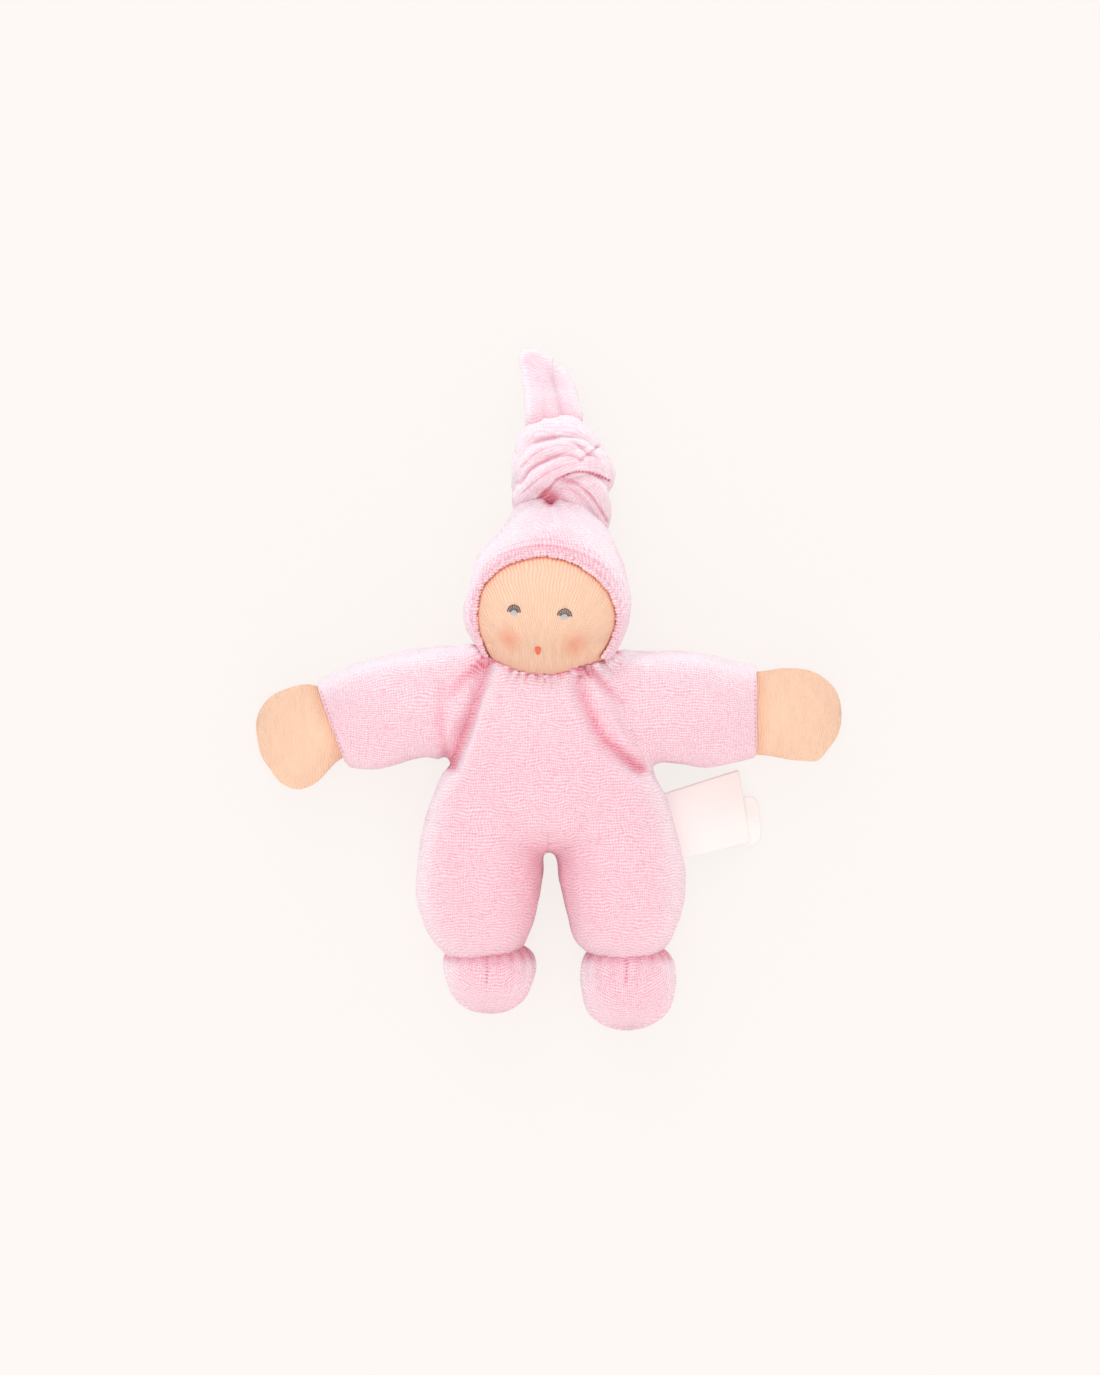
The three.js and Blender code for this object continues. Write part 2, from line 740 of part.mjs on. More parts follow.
function sleeveShape(side, drawn, options) {
  const radius = SHOULDER_RADIUS - drawn;
  const root = [-1, ...BALL_SHARES].map((share) => {
    const wide = radius * Math.sqrt(1 - share ** 2);
    return [share * radius, wide, wide];
  });
  const between = (share, wrist) => THREE.MathUtils.lerp(wrist, SHOULDER_RADIUS, share) - drawn;
  const tube = SLEEVE_OUTLINE.map(([along, wide, deep]) => [
    along * side.sleeveLength,
    between(wide, WRIST_RADIUS),
    between(deep, WRIST_DEPTH / 2),
  ]);
  const beyond = [side.sleeveLength + WRIST_RADIUS, 0, 0];
  const risen = tube.map(([along, , deep]) => [along, 0, heightChange(side, 2 * (deep + drawn))]);
  const laid = stuffed([...root, ...tube, beyond], middleLine([[0, 0, 0], ...risen]), {
    squareness: ARM_SQUARENESS,
    ...options,
  });
  return moved(laid, armPlace(side));
}

function mittShape(side, drawn, options) {
  const wrist = wristOf(side);
  const [wide, deep] = [PALM_BALL - drawn, PALM_BALL_DEPTH / 2 - drawn];
  const root = [-1, ...BALL_SHARES].map((share) => {
    const round = Math.sqrt(1 - share ** 2);
    return [wrist.y + share * wide, wide * round, deep * round];
  });
  const last = MITT_OUTLINE.length - 1;
  const palm = MITT_OUTLINE.map(([along, w, d], i) => [
    wrist.y + along * side.mittLength - (i === last ? drawn : 0),
    i === last ? 0 : (w * side.mittWidth) / 2 - drawn,
    i === last ? 0 : (d * MITT_DEPTH) / 2 - drawn,
  ]);
  const palmZ = heightChange(side, MITT_DEPTH);
  const middle = middleLine([
    [wrist.y, 0, wrist.z],
    [wrist.y + side.mittLength / 2, -side.mittSag, palmZ],
    [wrist.y + side.mittLength, -side.mittSag * MITT_END_SAG, palmZ],
  ]);
  const laid = stuffed([...root, ...palm], middle, { squareness: ARM_SQUARENESS, ...options });
  return moved(laid, armPlace(side));
}

// The cuff's cut, slanted as it is sewn, with all that lies beyond it or inside it
function cuffNormal(side) {
  const slant = degrees(side.cuffSlant);
  return new THREE.Vector3(-Math.sin(slant), Math.cos(slant), 0);
}
const beyondCuff = (side) => moved(halfSpace(wristOf(side), cuffNormal(side)), armPlace(side));
const insideCuff = (side) => moved(halfSpace(wristOf(side), cuffNormal(side).negate()), armPlace(side));

function palmSeat(side, grow) {
  const size = new THREE.Vector3(PALM_BALL + grow, PALM_BALL + grow, PALM_BALL_DEPTH / 2 + grow);
  const place = new THREE.Matrix4().compose(wristOf(side), new THREE.Quaternion(), size);
  return moved(ball(1, new THREE.Vector3(), PALM_FACETS), armPlace(side).multiply(place));
}

// The arm's seam with the trunk is an upright plane, slanted along the crease from the neck to the armpit.
const seamPoint = (side) => new THREE.Vector3(side.sign * SEAM_X, SHOULDER_Y, ARM_HINGE_Z);

function seamNormal(side) {
  const angle = degrees(SEAM_ANGLE);
  return new THREE.Vector3(side.sign * Math.cos(angle), Math.sin(angle), 0);
}

function beyondSeam(side, offset) {
  const normal = seamNormal(side);
  return halfSpace(seamPoint(side).addScaledVector(normal, offset), normal);
}

function insideSeam(side, offset) {
  const normal = seamNormal(side);
  return halfSpace(seamPoint(side).addScaledVector(normal, -offset), normal.negate());
}

// Knot and tip

const knotCentre = new THREE.Vector3(KNOT_X, crownTop.y + KNOT_RISE, KNOT_Z);
const knotPivot = crownTop.clone().sub(new THREE.Vector3(0, KNOT_BEND_DEPTH, 0));
const knotTopY = knotCentre.y + KNOT_LENGTH * (1 - KNOT_START_SHARE);
const tipPivot = new THREE.Vector3(TIP_X, knotTopY + SEWN_GAP, KNOT_Z - TIP_PIVOT_DROP);

// The tied cloth is a rounded core with its strands laid over and under one another.
function knotSolid() {
  const below = new THREE.Vector3(0, 0, -KNOT_DEPTH * KNOT_BAND_CENTRE_SHARE).add(knotCentre);
  const half = new THREE.Vector3(KNOT_WIDTH, KNOT_LENGTH, KNOT_DEPTH).divideScalar(2);
  const strands = Object.values(KNOT_STRANDS).map(({ thick, wide, line }) => {
    const points = line.map((share) => new THREE.Vector3(...share).multiply(half).add(knotCentre));
    const size = [thick * KNOT_WIDTH, wide * KNOT_WIDTH];
    return bandAlong(new THREE.CatmullRomCurve3(points), below, ...size, { steps: 11, around: 10 });
  });
  const start = knotCentre.y - KNOT_LENGTH * KNOT_START_SHARE;
  const rows = scaledRows(KNOT_OUTLINE, start, KNOT_LENGTH, KNOT_WIDTH, KNOT_DEPTH);
  const middle = () => [knotCentre.x, knotCentre.z];
  const core = stuffed(rows, middle, { rings: 10, around: 16, squareness: ROUND });
  return joined([core, ...strands]);
}

// The crown of the cap, grown by the gap to the knot, in the places that it takes as the knot flops over.
function crownRoom() {
  const rows = CROWN_OUTLINE.slice(0, -1).map(([rise, share]) => {
    const wide = share * CAP_RADIUS + CROWN_GAP;
    return [HEAD_Y + rise * CROWN_HEIGHT, wide, wide];
  });
  const ends = [[HEAD_Y, 0, 0], [crownTop.y + CROWN_GAP, 0, 0]];
  const settings = { rings: 14, around: 20, squareness: ROUND };
  const grown = stuffed([ends[0], ...rows, ends[1]], crownMiddle, settings);
  return swept(grown, knotPivot, Z_AXIS, [-KNOT_BEND, 0, KNOT_BEND]);
}

function tipSolid() {
  const start = tipPivot.y - TIP_SUNK;
  const lowest = TIP_DEPTH * TIP_REST_SHARE - FLOOR_CUT;
  const place = (share, curl, height) => [start + TIP_LENGTH * share, tipPivot.x - TIP_CURL * curl, height];
  const middle = middleLine([
    place(0, 0, tipPivot.z),
    place(TIP_NEAR.along, TIP_NEAR.curl, tipPivot.z * TIP_NEAR.height),
    place(TIP_FAR.along, TIP_FAR.curl, lowest),
    place(1, 1, lowest),
  ]);
  const rows = scaledRows(TIP_OUTLINE, start, TIP_LENGTH, TIP_WIDTH, TIP_DEPTH);
  const sheet = stuffed(rows, middle, { rings: 12, around: 16, squareness: TIP_SQUARENESS });
  const rollMiddle = (along) => {
    const [x, z] = middle(along);
    return [x + TIP_WIDTH * TIP_ROLL.out, z + TIP_ROLL.rise];
  };
  const rollRows = scaledRows(
    TIP_OUTLINE,
    start,
    TIP_LENGTH * TIP_ROLL.length,
    TIP_WIDTH * TIP_ROLL.width,
    TIP_DEPTH * TIP_ROLL.depth,
  );
  return sheet.add(stuffed(rollRows, rollMiddle, { rings: 8, around: 10, squareness: ROUND }));
}

// A label is laid out flat with +X out from the seam and +Y up along it, then hung in the left side seam.
const labelRoot = new THREE.Vector3(LABEL_ROOT_X, LABEL_ROOT_Y, LABEL_ROOT_Z);

function labelSolid(top, alongSeam, out, thick, corner, layer) {
  const bottom = top - alongSeam;
  const shape = new THREE.Shape();
  shape.moveTo(0, bottom);
  shape.lineTo(out - corner, bottom);
  shape.absarc(out - corner, bottom + corner, corner, -Math.PI / 2, 0, false);
  shape.lineTo(out, top - corner);
  shape.absarc(out - corner, top - corner, corner, 0, Math.PI / 2, false);
  shape.lineTo(0, top);
  const plate = new THREE.ExtrudeGeometry(shape, { depth: thick, bevelEnabled: false, curveSegments: 4 });
  plate.translate(0, 0, -layer);
  const turn = new THREE.Euler(0, degrees(LABEL_DROOP), degrees(LABEL_ANGLE), "ZYX");
  const place = new THREE.Matrix4().makeRotationFromEuler(turn).setPosition(labelRoot);
  return moved(solidFrom(plate), place);
}

// Everything is built at its place in the doll's frame, and each smaller piece is cut by its larger
// neighbour.

const FINE = { rings: 13, around: 24 };
const INNER = { rings: 8, around: 12 };
const FILL = { ...INNER, shrink: FILL_GAP };
const SMALL = { rings: 11, around: 20 };
const MITT_FACETS = { rings: 13, around: 20 };
const BALL_FACETS = 20;
const CORD_FACETS = 16;
const HOLE_FACETS = 12;
const HOLE_RIM = 1;

const sides = Object.entries(SIDES);
const forwards = new THREE.Vector3(0, 1, 0);
const backwards = new THREE.Vector3(0, -1, 0);

const legsOut = sides.map(([, side]) => legShape(side, 0, FINE));
const legsIn = sides.map(([, side]) => legShape(side, TERRY_WALL, INNER));
const legsFill = sides.map(([, side]) => legShape(side, TERRY_WALL, FILL));
const aboveHips = halfSpace(new THREE.Vector3(0, HIP_LINE_Y - SEWN_GAP / 2, 0), forwards);
const belowHips = halfSpace(new THREE.Vector3(0, HIP_LINE_Y + SEWN_GAP / 2, 0), backwards);

// The head turns and nods in a round seat in the neck of the suit. The seat is as wide as the stitches of
// the mouth where they pass as the head nods forward, and as wide as the cap with its hem above the lowest
// place that the cap's edge reaches as it nods back.
const nodBack = degrees(HEAD_NOD_BACK);
const capEdgeDepth = Math.sqrt(CAP_RADIUS ** 2 - CAP_EDGE_DROP ** 2);
const capSweepDrop = CAP_EDGE_DROP * Math.cos(nodBack) + capEdgeDepth * Math.sin(nodBack) + SEWN_GAP;
const belowCapSweep = halfSpace(new THREE.Vector3(0, headCentre.y - capSweepDrop, 0), backwards);
const headSeat = ball(HEAD_RADIUS + TURNING_GAP, headCentre, SEAT_FACETS);
const capSeatRadius = HEAD_RADIUS + 2 * HEM_RADIUS + 2 * SEWN_GAP;
const capSeat = ball(capSeatRadius, headCentre, SEAT_FACETS).subtract(belowCapSweep);
const belowMouthSweep = halfSpace(new THREE.Vector3(0, headCentre.y - MOUTH_SWEEP_DROP, 0), backwards);
const mouthRadius = HEAD_RADIUS + SEWN_GAP + STITCH_HEIGHT;
const mouthSeat = ball(mouthRadius + TURNING_GAP, headCentre, SEAT_FACETS).subtract(belowMouthSweep);
const neckEndY = headCentre.y - HEAD_RADIUS - NECK_LENGTH;
const neckRoomRadius = NECK_RADIUS + 2 * NECK_CORD_RADIUS + 2 * SEWN_GAP;
const neckRoom = cylinderAlongY(neckRoomRadius, neckEndY - SEWN_GAP, headCentre.y, headCentre, SEAT_FACETS);

const armpit = block(new THREE.Vector3(-FAR, ARMPIT_Y, -FAR), new THREE.Vector3(FAR, FAR, FAR));
const armRooms = sides.map(([, side]) => beyondSeam(side, -SEWN_GAP / 2).intersect(armpit));
const trunkCutters = [headSeat, mouthSeat, capSeat, neckRoom, ...armRooms, belowHips];

const trunkOut = joined([trunkShape(0, { rings: 15, around: 28 }), ...legsOut]);
const trunkIn = joined([trunkShape(TERRY_WALL, INNER), ...legsIn]);
const trunkFill = joined([trunkShape(TERRY_WALL, FILL), ...legsFill]);
addPiece(doll, "suit_trunk", cutBy(trunkOut, [trunkIn, ...trunkCutters, floorBlock]), terry);
addPiece(doll, "trunk_stuffing", cutBy(trunkFill, trunkCutters), wool);

// Neck: the tied-off end of the head's inner bag, with the cord wound round it
const TURN_SHARES = [-0.5, -1 / 6, 1 / 6, 0.5];

function neckCordSolid() {
  const inner = NECK_RADIUS + SEWN_GAP;
  const height = 2 * NECK_CORD_RADIUS;
  const turns = Array.from({ length: NECK_CORD_TURNS }, (_, turn) =>
    TURN_SHARES.map((share) => {
      const x = inner + NECK_CORD_RADIUS * (1 + Math.cos(share * Math.PI));
      return new THREE.Vector2(x, height * (turn + 0.5) + NECK_CORD_RADIUS * Math.sin(share * Math.PI));
    }),
  );
  const grooves = turns.map((points, turn) => (turn ? points.slice(1) : points)).flat();
  const start = new THREE.Vector2(inner, 0);
  const end = new THREE.Vector2(inner, height * NECK_CORD_TURNS);
  const wound = new THREE.LatheGeometry([start, ...grooves, end, start], CORD_FACETS);
  return solidFrom(wound.translate(headCentre.x, neckEndY + SEWN_GAP, headCentre.z));
}

const neckGroup = jointGroup(doll, headCentre);
const neckStalk = cylinderAlongY(NECK_RADIUS, neckEndY, headCentre.y, headCentre, SEAT_FACETS);
addPiece(neckGroup, "neck_stub", neckStalk.subtract(headSeat), wool);
addPiece(neckGroup, "neck_cord", neckCordSolid(), cord);

// Head
const headGroup = jointGroup(neckGroup, headCentre);
const headHollow = ball(HEAD_RADIUS - JERSEY_WALL, headCentre, BALL_FACETS);
const headFill = ball(HEAD_RADIUS - JERSEY_WALL - FILL_GAP, headCentre, BALL_FACETS);
const skinEnd = headCentre.y - HEAD_RADIUS - HOLE_RIM;
const skinHoleEnds = [skinEnd, headCentre.y - HEAD_RADIUS / 2];
const skinHole = cylinderAlongY(NECK_RADIUS - HOLE_RIM, ...skinHoleEnds, headCentre, HOLE_FACETS);
const headSkin = cutBy(ball(HEAD_RADIUS, headCentre, SEAT_FACETS), [headHollow, skinHole]);
addPiece(headGroup, "head_wool", headFill, wool);
addPiece(headGroup, "head_skin", headSkin, jersey);
addPiece(headGroup, "eye_right", stitchedPad(eyeOutline(), -EYE_SPACING / 2, -EYE_DROP), eyeFloss);
addPiece(headGroup, "eye_left", stitchedPad(eyeOutline(), EYE_SPACING / 2, -EYE_DROP), eyeFloss);
addPiece(headGroup, "mouth", stitchedPad(mouthOutline(), 0, -MOUTH_DROP), mouthFloss);

const belowCap = halfSpace(new THREE.Vector3(0, headCentre.y - CAP_EDGE_DROP, 0), backwards);
const capOut = capShape(0, { rings: 20, around: 28 });
const capRoom = capShape(CAP_WALL, { rings: 16, around: 24 });
const hood = cutBy(capOut, [capRoom, belowCap, facePrism(2 * HEM_RADIUS + SEWN_GAP), floorBlock]);
addPiece(headGroup, "cap_hood", hood, terry);
addPiece(headGroup, "cap_hem", capHem(), terry);

// Knot, seated on the crown with room to flop to either side
const knotGroup = jointGroup(headGroup, knotPivot);
addPiece(knotGroup, "cap_knot", cutBy(knotSolid(), [crownRoom(), floorBlock]), terry);

// Tip, coming out of the knot with room to fold forwards and back
const tipGroup = jointGroup(knotGroup, tipPivot);
const beforePivot = halfSpace(tipPivot, backwards);
const knotRoom = swept(beforePivot, tipPivot, X_AXIS, [-TIP_BEND_FORWARD, TIP_BEND_BACK]);
addPiece(tipGroup, "cap_tip", cutBy(tipSolid(), [knotRoom, floorBlock]), terry);

sides.forEach(([name, side], i) => {
  const alongArm = new THREE.Vector3(0, 1, 0).transformDirection(armPlace(side));
  const outwards = (gap) => new THREE.Matrix4().makeTranslation(alongArm.clone().multiplyScalar(gap));
  const downBy = (distance) => new THREE.Matrix4().makeTranslation(0, -distance, 0);

  // Arm, from the seam with the trunk to the cuff
  const armGroup = jointGroup(doll, seamPoint(side));
  const cuffEnds = [beyondCuff(side), palmSeat(side, CUFF_ROOM)];
  const armEnds = [insideSeam(side, -SEWN_GAP / 2), ...cuffEnds, headSeat, capSeat];
  const sleeveOut = sleeveShape(side, 0, { rings: 14, around: 24 });
  const sleeveIn = sleeveShape(side, TERRY_WALL, INNER);
  const armFill = sleeveShape(side, TERRY_WALL, FILL);
  addPiece(armGroup, `sleeve_${name}`, cutBy(sleeveOut, [sleeveIn, ...armEnds, floorBlock]), terry);
  addPiece(armGroup, `arm_stuffing_${name}`, cutBy(armFill, armEnds), wool);

  // Hand, with its round root in the cuff
  const wrist = wristOf(side).applyMatrix4(armPlace(side));
  const handGroup = jointGroup(armGroup, wrist);
  const cuffSweep = swept(insideCuff(side), wrist, Z_AXIS, [-WRIST_BEND, WRIST_BEND]);
  const beforeCuff = (gap, grow) => moved(cuffSweep, outwards(SEWN_GAP + gap)).subtract(palmSeat(side, grow));
  const hem = PALM_HEM * JERSEY_WALL;
  const mittOut = cutBy(mittShape(side, 0, MITT_FACETS), [beforeCuff(0, PALM_ROOM), floorBlock]);
  const mittIn = mittShape(side, JERSEY_WALL, INNER).subtract(beforeCuff(hem, PALM_ROOM - JERSEY_WALL));
  const rootEnds = [side.sleeveLength - PALM_BALL - HOLE_RIM, side.sleeveLength - PALM_BALL / 2];
  const rootHole = moved(cylinderAlongY(PALM_HOLE, ...rootEnds, wristOf(side), HOLE_FACETS), armPlace(side));
  const handFill = mittShape(side, JERSEY_WALL, FILL);
  const fillRoom = beforeCuff(hem + FILL_GAP, PALM_ROOM - JERSEY_WALL - FILL_GAP);
  addPiece(handGroup, `mitt_${name}`, cutBy(mittOut, [mittIn, rootHole]), jersey);
  addPiece(handGroup, `mitt_stuffing_${name}`, handFill.subtract(fillRoom), wool);

  // Leg, from the hip line to the ankle
  const legGroup = jointGroup(doll, new THREE.Vector3(side.sign * HIP_SPREAD, HIP_LINE_Y, HIP_HINGE_Z));
  addPiece(legGroup, `suit_leg_${name}`, cutBy(legsOut[i], [legsIn[i], aboveHips, floorBlock]), terry);
  addPiece(legGroup, `leg_stuffing_${name}`, legsFill[i].subtract(aboveHips), wool);

  // Foot, closed round the end of the leg
  const ankle = ankleOf(side);
  const footGroup = jointGroup(legGroup, ankle);
  const upperLeg = halfSpace(new THREE.Vector3(0, HIP_LINE_Y - LEG_LENGTH / 2, 0), forwards);
  const legRoom = swept(legsOut[i].subtract(upperLeg), ankle, X_AXIS, [-ANKLE_BEND, 0, ANKLE_BEND]);
  const footIn = footShape(side, TERRY_WALL, INNER);
  const footFill = footShape(side, TERRY_WALL, FILL);
  const footCutters = [footIn, moved(legRoom, downBy(SEWN_GAP)), floorBlock];
  const footSeat = moved(legRoom, downBy(SEWN_GAP + FILL_GAP));
  addPiece(footGroup, `foot_${name}`, cutBy(footShape(side, 0, SMALL), footCutters), terry);
  addPiece(footGroup, `foot_stuffing_${name}`, footFill.subtract(footSeat), wool);
});

// Labels, clear of the trunk and the leg that they hang beside
const labelGroup = jointGroup(doll, labelRoot);
const trunkBeside = moved(trunkOut, new THREE.Matrix4().makeTranslation(LABEL_GAP, 0, 0));
const labelSeam = new THREE.Vector3(0, -1, 0).applyAxisAngle(Z_AXIS, degrees(LABEL_ANGLE));
const labelBends = [-LABEL_BEND_UP, -LABEL_BEND_UP / 2, 0, LABEL_BEND_DOWN];
const labelRoom = swept(trunkBeside, labelRoot, labelSeam, labelBends);
const mainLabel = labelSolid(0, LABEL_ALONG_SEAM, LABEL_OUT, LABEL_THICK, LABEL_CORNER, 0);
const smallLabel = labelSolid(
  -SMALL_LABEL_DROP,
  SMALL_LABEL_ALONG_SEAM,
  SMALL_LABEL_OUT,
  SMALL_LABEL_THICK,
  SMALL_LABEL_CORNER,
  SMALL_LABEL_THICK + SEWN_GAP,
);
addPiece(labelGroup, "label_large", mainLabel.subtract(labelRoom), satin);
addPiece(labelGroup, "label_small", smallLabel.subtract(labelRoom), satin);

export default doll;
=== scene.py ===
"""A stuffed cloth doll on its back: terry suit and knotted cap, jersey face and hands, seen from above."""

import json
import logging
import math
from dataclasses import dataclass
from enum import Enum
from functools import lru_cache, partial
from typing import Callable, Iterable, Sequence

import bmesh
import bpy
import numpy as np
from mathutils import Matrix, Vector
from mathutils.bvhtree import BVHTree
from mathutils.kdtree import KDTree


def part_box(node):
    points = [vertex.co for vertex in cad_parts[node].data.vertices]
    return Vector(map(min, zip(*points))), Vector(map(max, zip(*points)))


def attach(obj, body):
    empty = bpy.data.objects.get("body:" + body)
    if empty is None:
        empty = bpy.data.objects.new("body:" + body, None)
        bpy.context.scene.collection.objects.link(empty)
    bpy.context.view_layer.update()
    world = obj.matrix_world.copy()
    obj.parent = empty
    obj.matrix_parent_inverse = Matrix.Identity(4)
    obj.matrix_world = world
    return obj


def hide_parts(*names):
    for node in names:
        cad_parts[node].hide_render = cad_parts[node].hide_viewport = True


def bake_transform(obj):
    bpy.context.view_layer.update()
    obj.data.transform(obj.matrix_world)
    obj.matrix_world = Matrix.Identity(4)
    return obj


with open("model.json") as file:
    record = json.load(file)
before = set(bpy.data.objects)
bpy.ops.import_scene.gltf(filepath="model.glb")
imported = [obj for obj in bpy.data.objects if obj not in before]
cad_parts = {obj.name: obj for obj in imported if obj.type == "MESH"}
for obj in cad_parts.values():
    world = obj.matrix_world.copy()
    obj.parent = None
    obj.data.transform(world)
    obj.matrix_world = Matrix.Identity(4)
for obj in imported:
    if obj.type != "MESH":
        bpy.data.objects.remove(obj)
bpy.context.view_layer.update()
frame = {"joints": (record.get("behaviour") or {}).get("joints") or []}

log = logging.getLogger("doll")

Points = np.ndarray
Values = np.ndarray
Field = Callable[[Points], Values]
Place = tuple[float, float, float]
Rows = tuple[tuple[float, float, float, float, float], ...]
Face = tuple[int, ...]
Socket = bpy.types.NodeSocket

MM = 0.001
FULL_TURN = 2 * math.pi

# Cloth, in millimetres
TERRY = 1.8
RIM_ROUNDING = 1.3
KNIT_ROW = 1.2
KNIT_WALE = 1.05

# How many loops of pile stand side by side in a millimetre
LOOPS_PER_MM = 0.95

# Where the plain pile lies on the painted shading, from painted highlight at 0 to the painted shade of a gap
# at 1
PLAIN_PILE = 0.3

# How finely each cloth is modelled, in millimetres
BODY_VOXEL = 0.9
SMALL_VOXEL = 0.7
TIP_VOXEL = 0.6
KNOT_VOXEL = 0.5


class Side(Enum):
    """One of the doll's own two sides, with its sign along X."""

    RIGHT = -1
    LEFT = 1


class Axis(Enum):
    """The axis along which a stuffed form is laid out."""

    X = 0
    Y = 1


# Frame


def box_of(node: str) -> Points:
    """Read the lowest and the highest corner of a CAD node, in mm."""
    return np.array([tuple(corner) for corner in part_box(node)]) / MM


def joint(name: str) -> tuple[Points, Points]:
    """Read a joint of the frame.

    Args:
        name: The joint's name.

    Returns:
        Its place in mm and the way of its axis, with length one.
    """
    found = next(j for j in frame["joints"] if j["name"] == name)
    axis = np.array(found["axis"], float)
    return np.array(found["pos_m"]) / MM, axis / np.linalg.norm(axis)


TRUNK_TOP = float(box_of("suit_trunk")[1][2])
HEAD = joint("head_nod")[0]
HEAD_RADIUS = float(np.ptp(box_of("head_skin")[:, 0])) / 2
KNOT_PIVOT = joint("knot_flop")[0]
TIP_PIVOT = joint("tip_fold")[0]
HIP_X, HIP_Y = (float(value) for value in joint("hip_swing_left")[0][:2])
ARMPIT_Y = float(box_of("sleeve_right")[0][1]) - 1.0

# How far out the plane of a cuff cuts the suit
PAST_ELBOW = 60.0


# Curves and fields


def smoothstep(values: Values, start: float, end: float) -> Values:
    """Rise smoothly from 0 at the start to 1 at the end."""
    share = np.clip((values - start) / (end - start), 0.0, 1.0)
    return share * share * (3 - 2 * share)


def bell(distance: Values, width: float) -> Values:
    """Fall from 1 at no distance to 1/e at the width."""
    return np.exp(-((distance / width) ** 2))


def unit(vectors: Points) -> Points:
    """Give vectors the length one, row by row."""
    return vectors / np.linalg.norm(vectors, axis=-1, keepdims=True)


def passed_along(line: Points) -> Values:
    """Measure how far along a drawn line each of its points is."""
    return np.concatenate([[0], np.cumsum(np.linalg.norm(np.diff(line, axis=0), axis=1))])


def curve_through(points: Sequence[Sequence[float]], closed: bool, steps: int) -> Points:
    """Draw a smooth curve through points, with no loops between uneven ones.

    Args:
        points: The points, each with the same number of values.
        closed: Whether the curve returns to its first point.
        steps: How many points to draw from each point to the next.

    Returns:
        The drawn points in order.
    """
    given = np.array(points, float)
    before = given[-1:] if closed else 2 * given[:1] - given[1:2]
    after = given[:2] if closed else 2 * given[-1:] - given[-2:-1]
    held = np.vstack([before, given, after])
    t = (np.arange(steps) / steps)[:, None]
    drawn = []
    for p0, p1, p2, p3 in zip(held, held[1:], held[2:], held[3:]):
        d0, d1, d2 = (max(1e-4, np.linalg.norm(b - a) ** 0.5) for a, b in ((p0, p1), (p1, p2), (p2, p3)))
        leave = ((p1 - p0) / d0 - (p2 - p0) / (d0 + d1) + (p2 - p1) / d1) * d1
        arrive = ((p2 - p1) / d1 - (p3 - p1) / (d1 + d2) + (p3 - p2) / d2) * d1
        held_back = (2 * t**3 - 3 * t**2 + 1) * p1 + (t**3 - 2 * t**2 + t) * leave
        drawn.append(held_back + (3 * t**2 - 2 * t**3) * p2 + (t**3 - t**2) * arrive)
    return np.concatenate(drawn if closed else [*drawn, given[-1:]])


def evenly(points: Points, count: int, closed: bool = False) -> Points:
    """Space a drawn curve evenly.

    Args:
        points: The drawn points in order.
        count: How many points to return.
        closed: Whether the curve returns to its first point.

    Returns:
        The evenly spaced points.
    """
    line = np.vstack([points, points[:1]]) if closed else points
    passed = passed_along(line)
    wanted = np.linspace(0, passed[-1], count, endpoint=not closed)
    return np.stack([np.interp(wanted, passed, values) for values in line.T], axis=1)


@dataclass(frozen=True)
class Crease:
    """A crease or fold in the cloth, seen from above, in mm.

    Attributes:
        line: Places (x, y) that it passes.
        depth: How deep it goes.
        width: How wide it is.
        start: How strong it is at its first place, from 0 to 1.
        end: How strong it is at its last place.
        over: How far the cloth to its left lies over the cloth to its right, going along it.
        crease_shade: How much shade is painted at its middle, from 0 to 1.
    """

    line: tuple[tuple[float, float], ...]
    depth: float
    width: float
    start: float = 1.0
    end: float = 1.0
    over: float = 0.0
    crease_shade: float = 0.5

    def measure(self, points: Points) -> tuple[Values, Values]:
        """Find how far points are from the crease and how strong it is there.

        Args:
            points: The points.

        Returns:
            The distance of each point, above 0 to the left of the crease, and the strength.
        """
        drawn = curve_through(self.line, False, 12)
        passed = passed_along(drawn)
        flat = points[:, :2]
        nearest = np.full(len(flat), np.inf)
        signed = np.zeros(len(flat))
        share = np.zeros(len(flat))
        for i, (start, end) in enumerate(zip(drawn, drawn[1:])):
            along = end - start
            t = np.clip((flat - start) @ along / max(1e-9, along @ along), 0, 1)
            away = flat - start - t[:, None] * along
            distance = np.linalg.norm(away, axis=1)
            closer = distance < nearest
            side = np.where(along[0] * away[:, 1] < along[1] * away[:, 0], -1, 1)
            nearest = np.where(closer, distance, nearest)
            signed = np.where(closer, distance * side, signed)
            share = np.where(closer, (passed[i] + t * (passed[i + 1] - passed[i])) / passed[-1], share)
        return signed, self.start + (self.end - self.start) * share

    def relief(self, points: Points) -> Values:
        """Read how far, in mm, the crease moves the cloth outwards at points, below 0 in its valley."""
        signed, strength = self.measure(points)
        fading = np.exp(-np.abs(signed) / (2.2 * self.width))
        side = self.over * np.tanh(signed / (0.35 * self.width)) * fading
        return strength * (side - self.depth * bell(signed, self.width))

    def colour(self, points: Points) -> Values:
        """Read how much shade is painted in the crease at points, from 0 to 1."""
        signed, strength = self.measure(points)
        return self.crease_shade * strength * bell(signed, 0.75 * self.width)


def lumps(points: Points, size: float, seed: int, waves: int = 9) -> Values:
    """Work out the soft unevenness of stuffing, the same each time.

    Args:
        points: Where to read it.
        size: About how wide a lump is, in mm.
        seed: Which unevenness.
        waves: How many waves it is made of.

    Returns:
        Values mostly between -1 and 1.
    """
    choose = np.random.default_rng(seed)
    total = np.zeros(len(points))
    for _ in range(waves):
        towards = choose.normal(size=3)
        towards *= FULL_TURN / (size * choose.uniform(0.8, 1.8) * np.linalg.norm(towards))
        total += np.sin(points @ towards + choose.uniform(0, FULL_TURN))
    return total / waves**0.5


# Skins


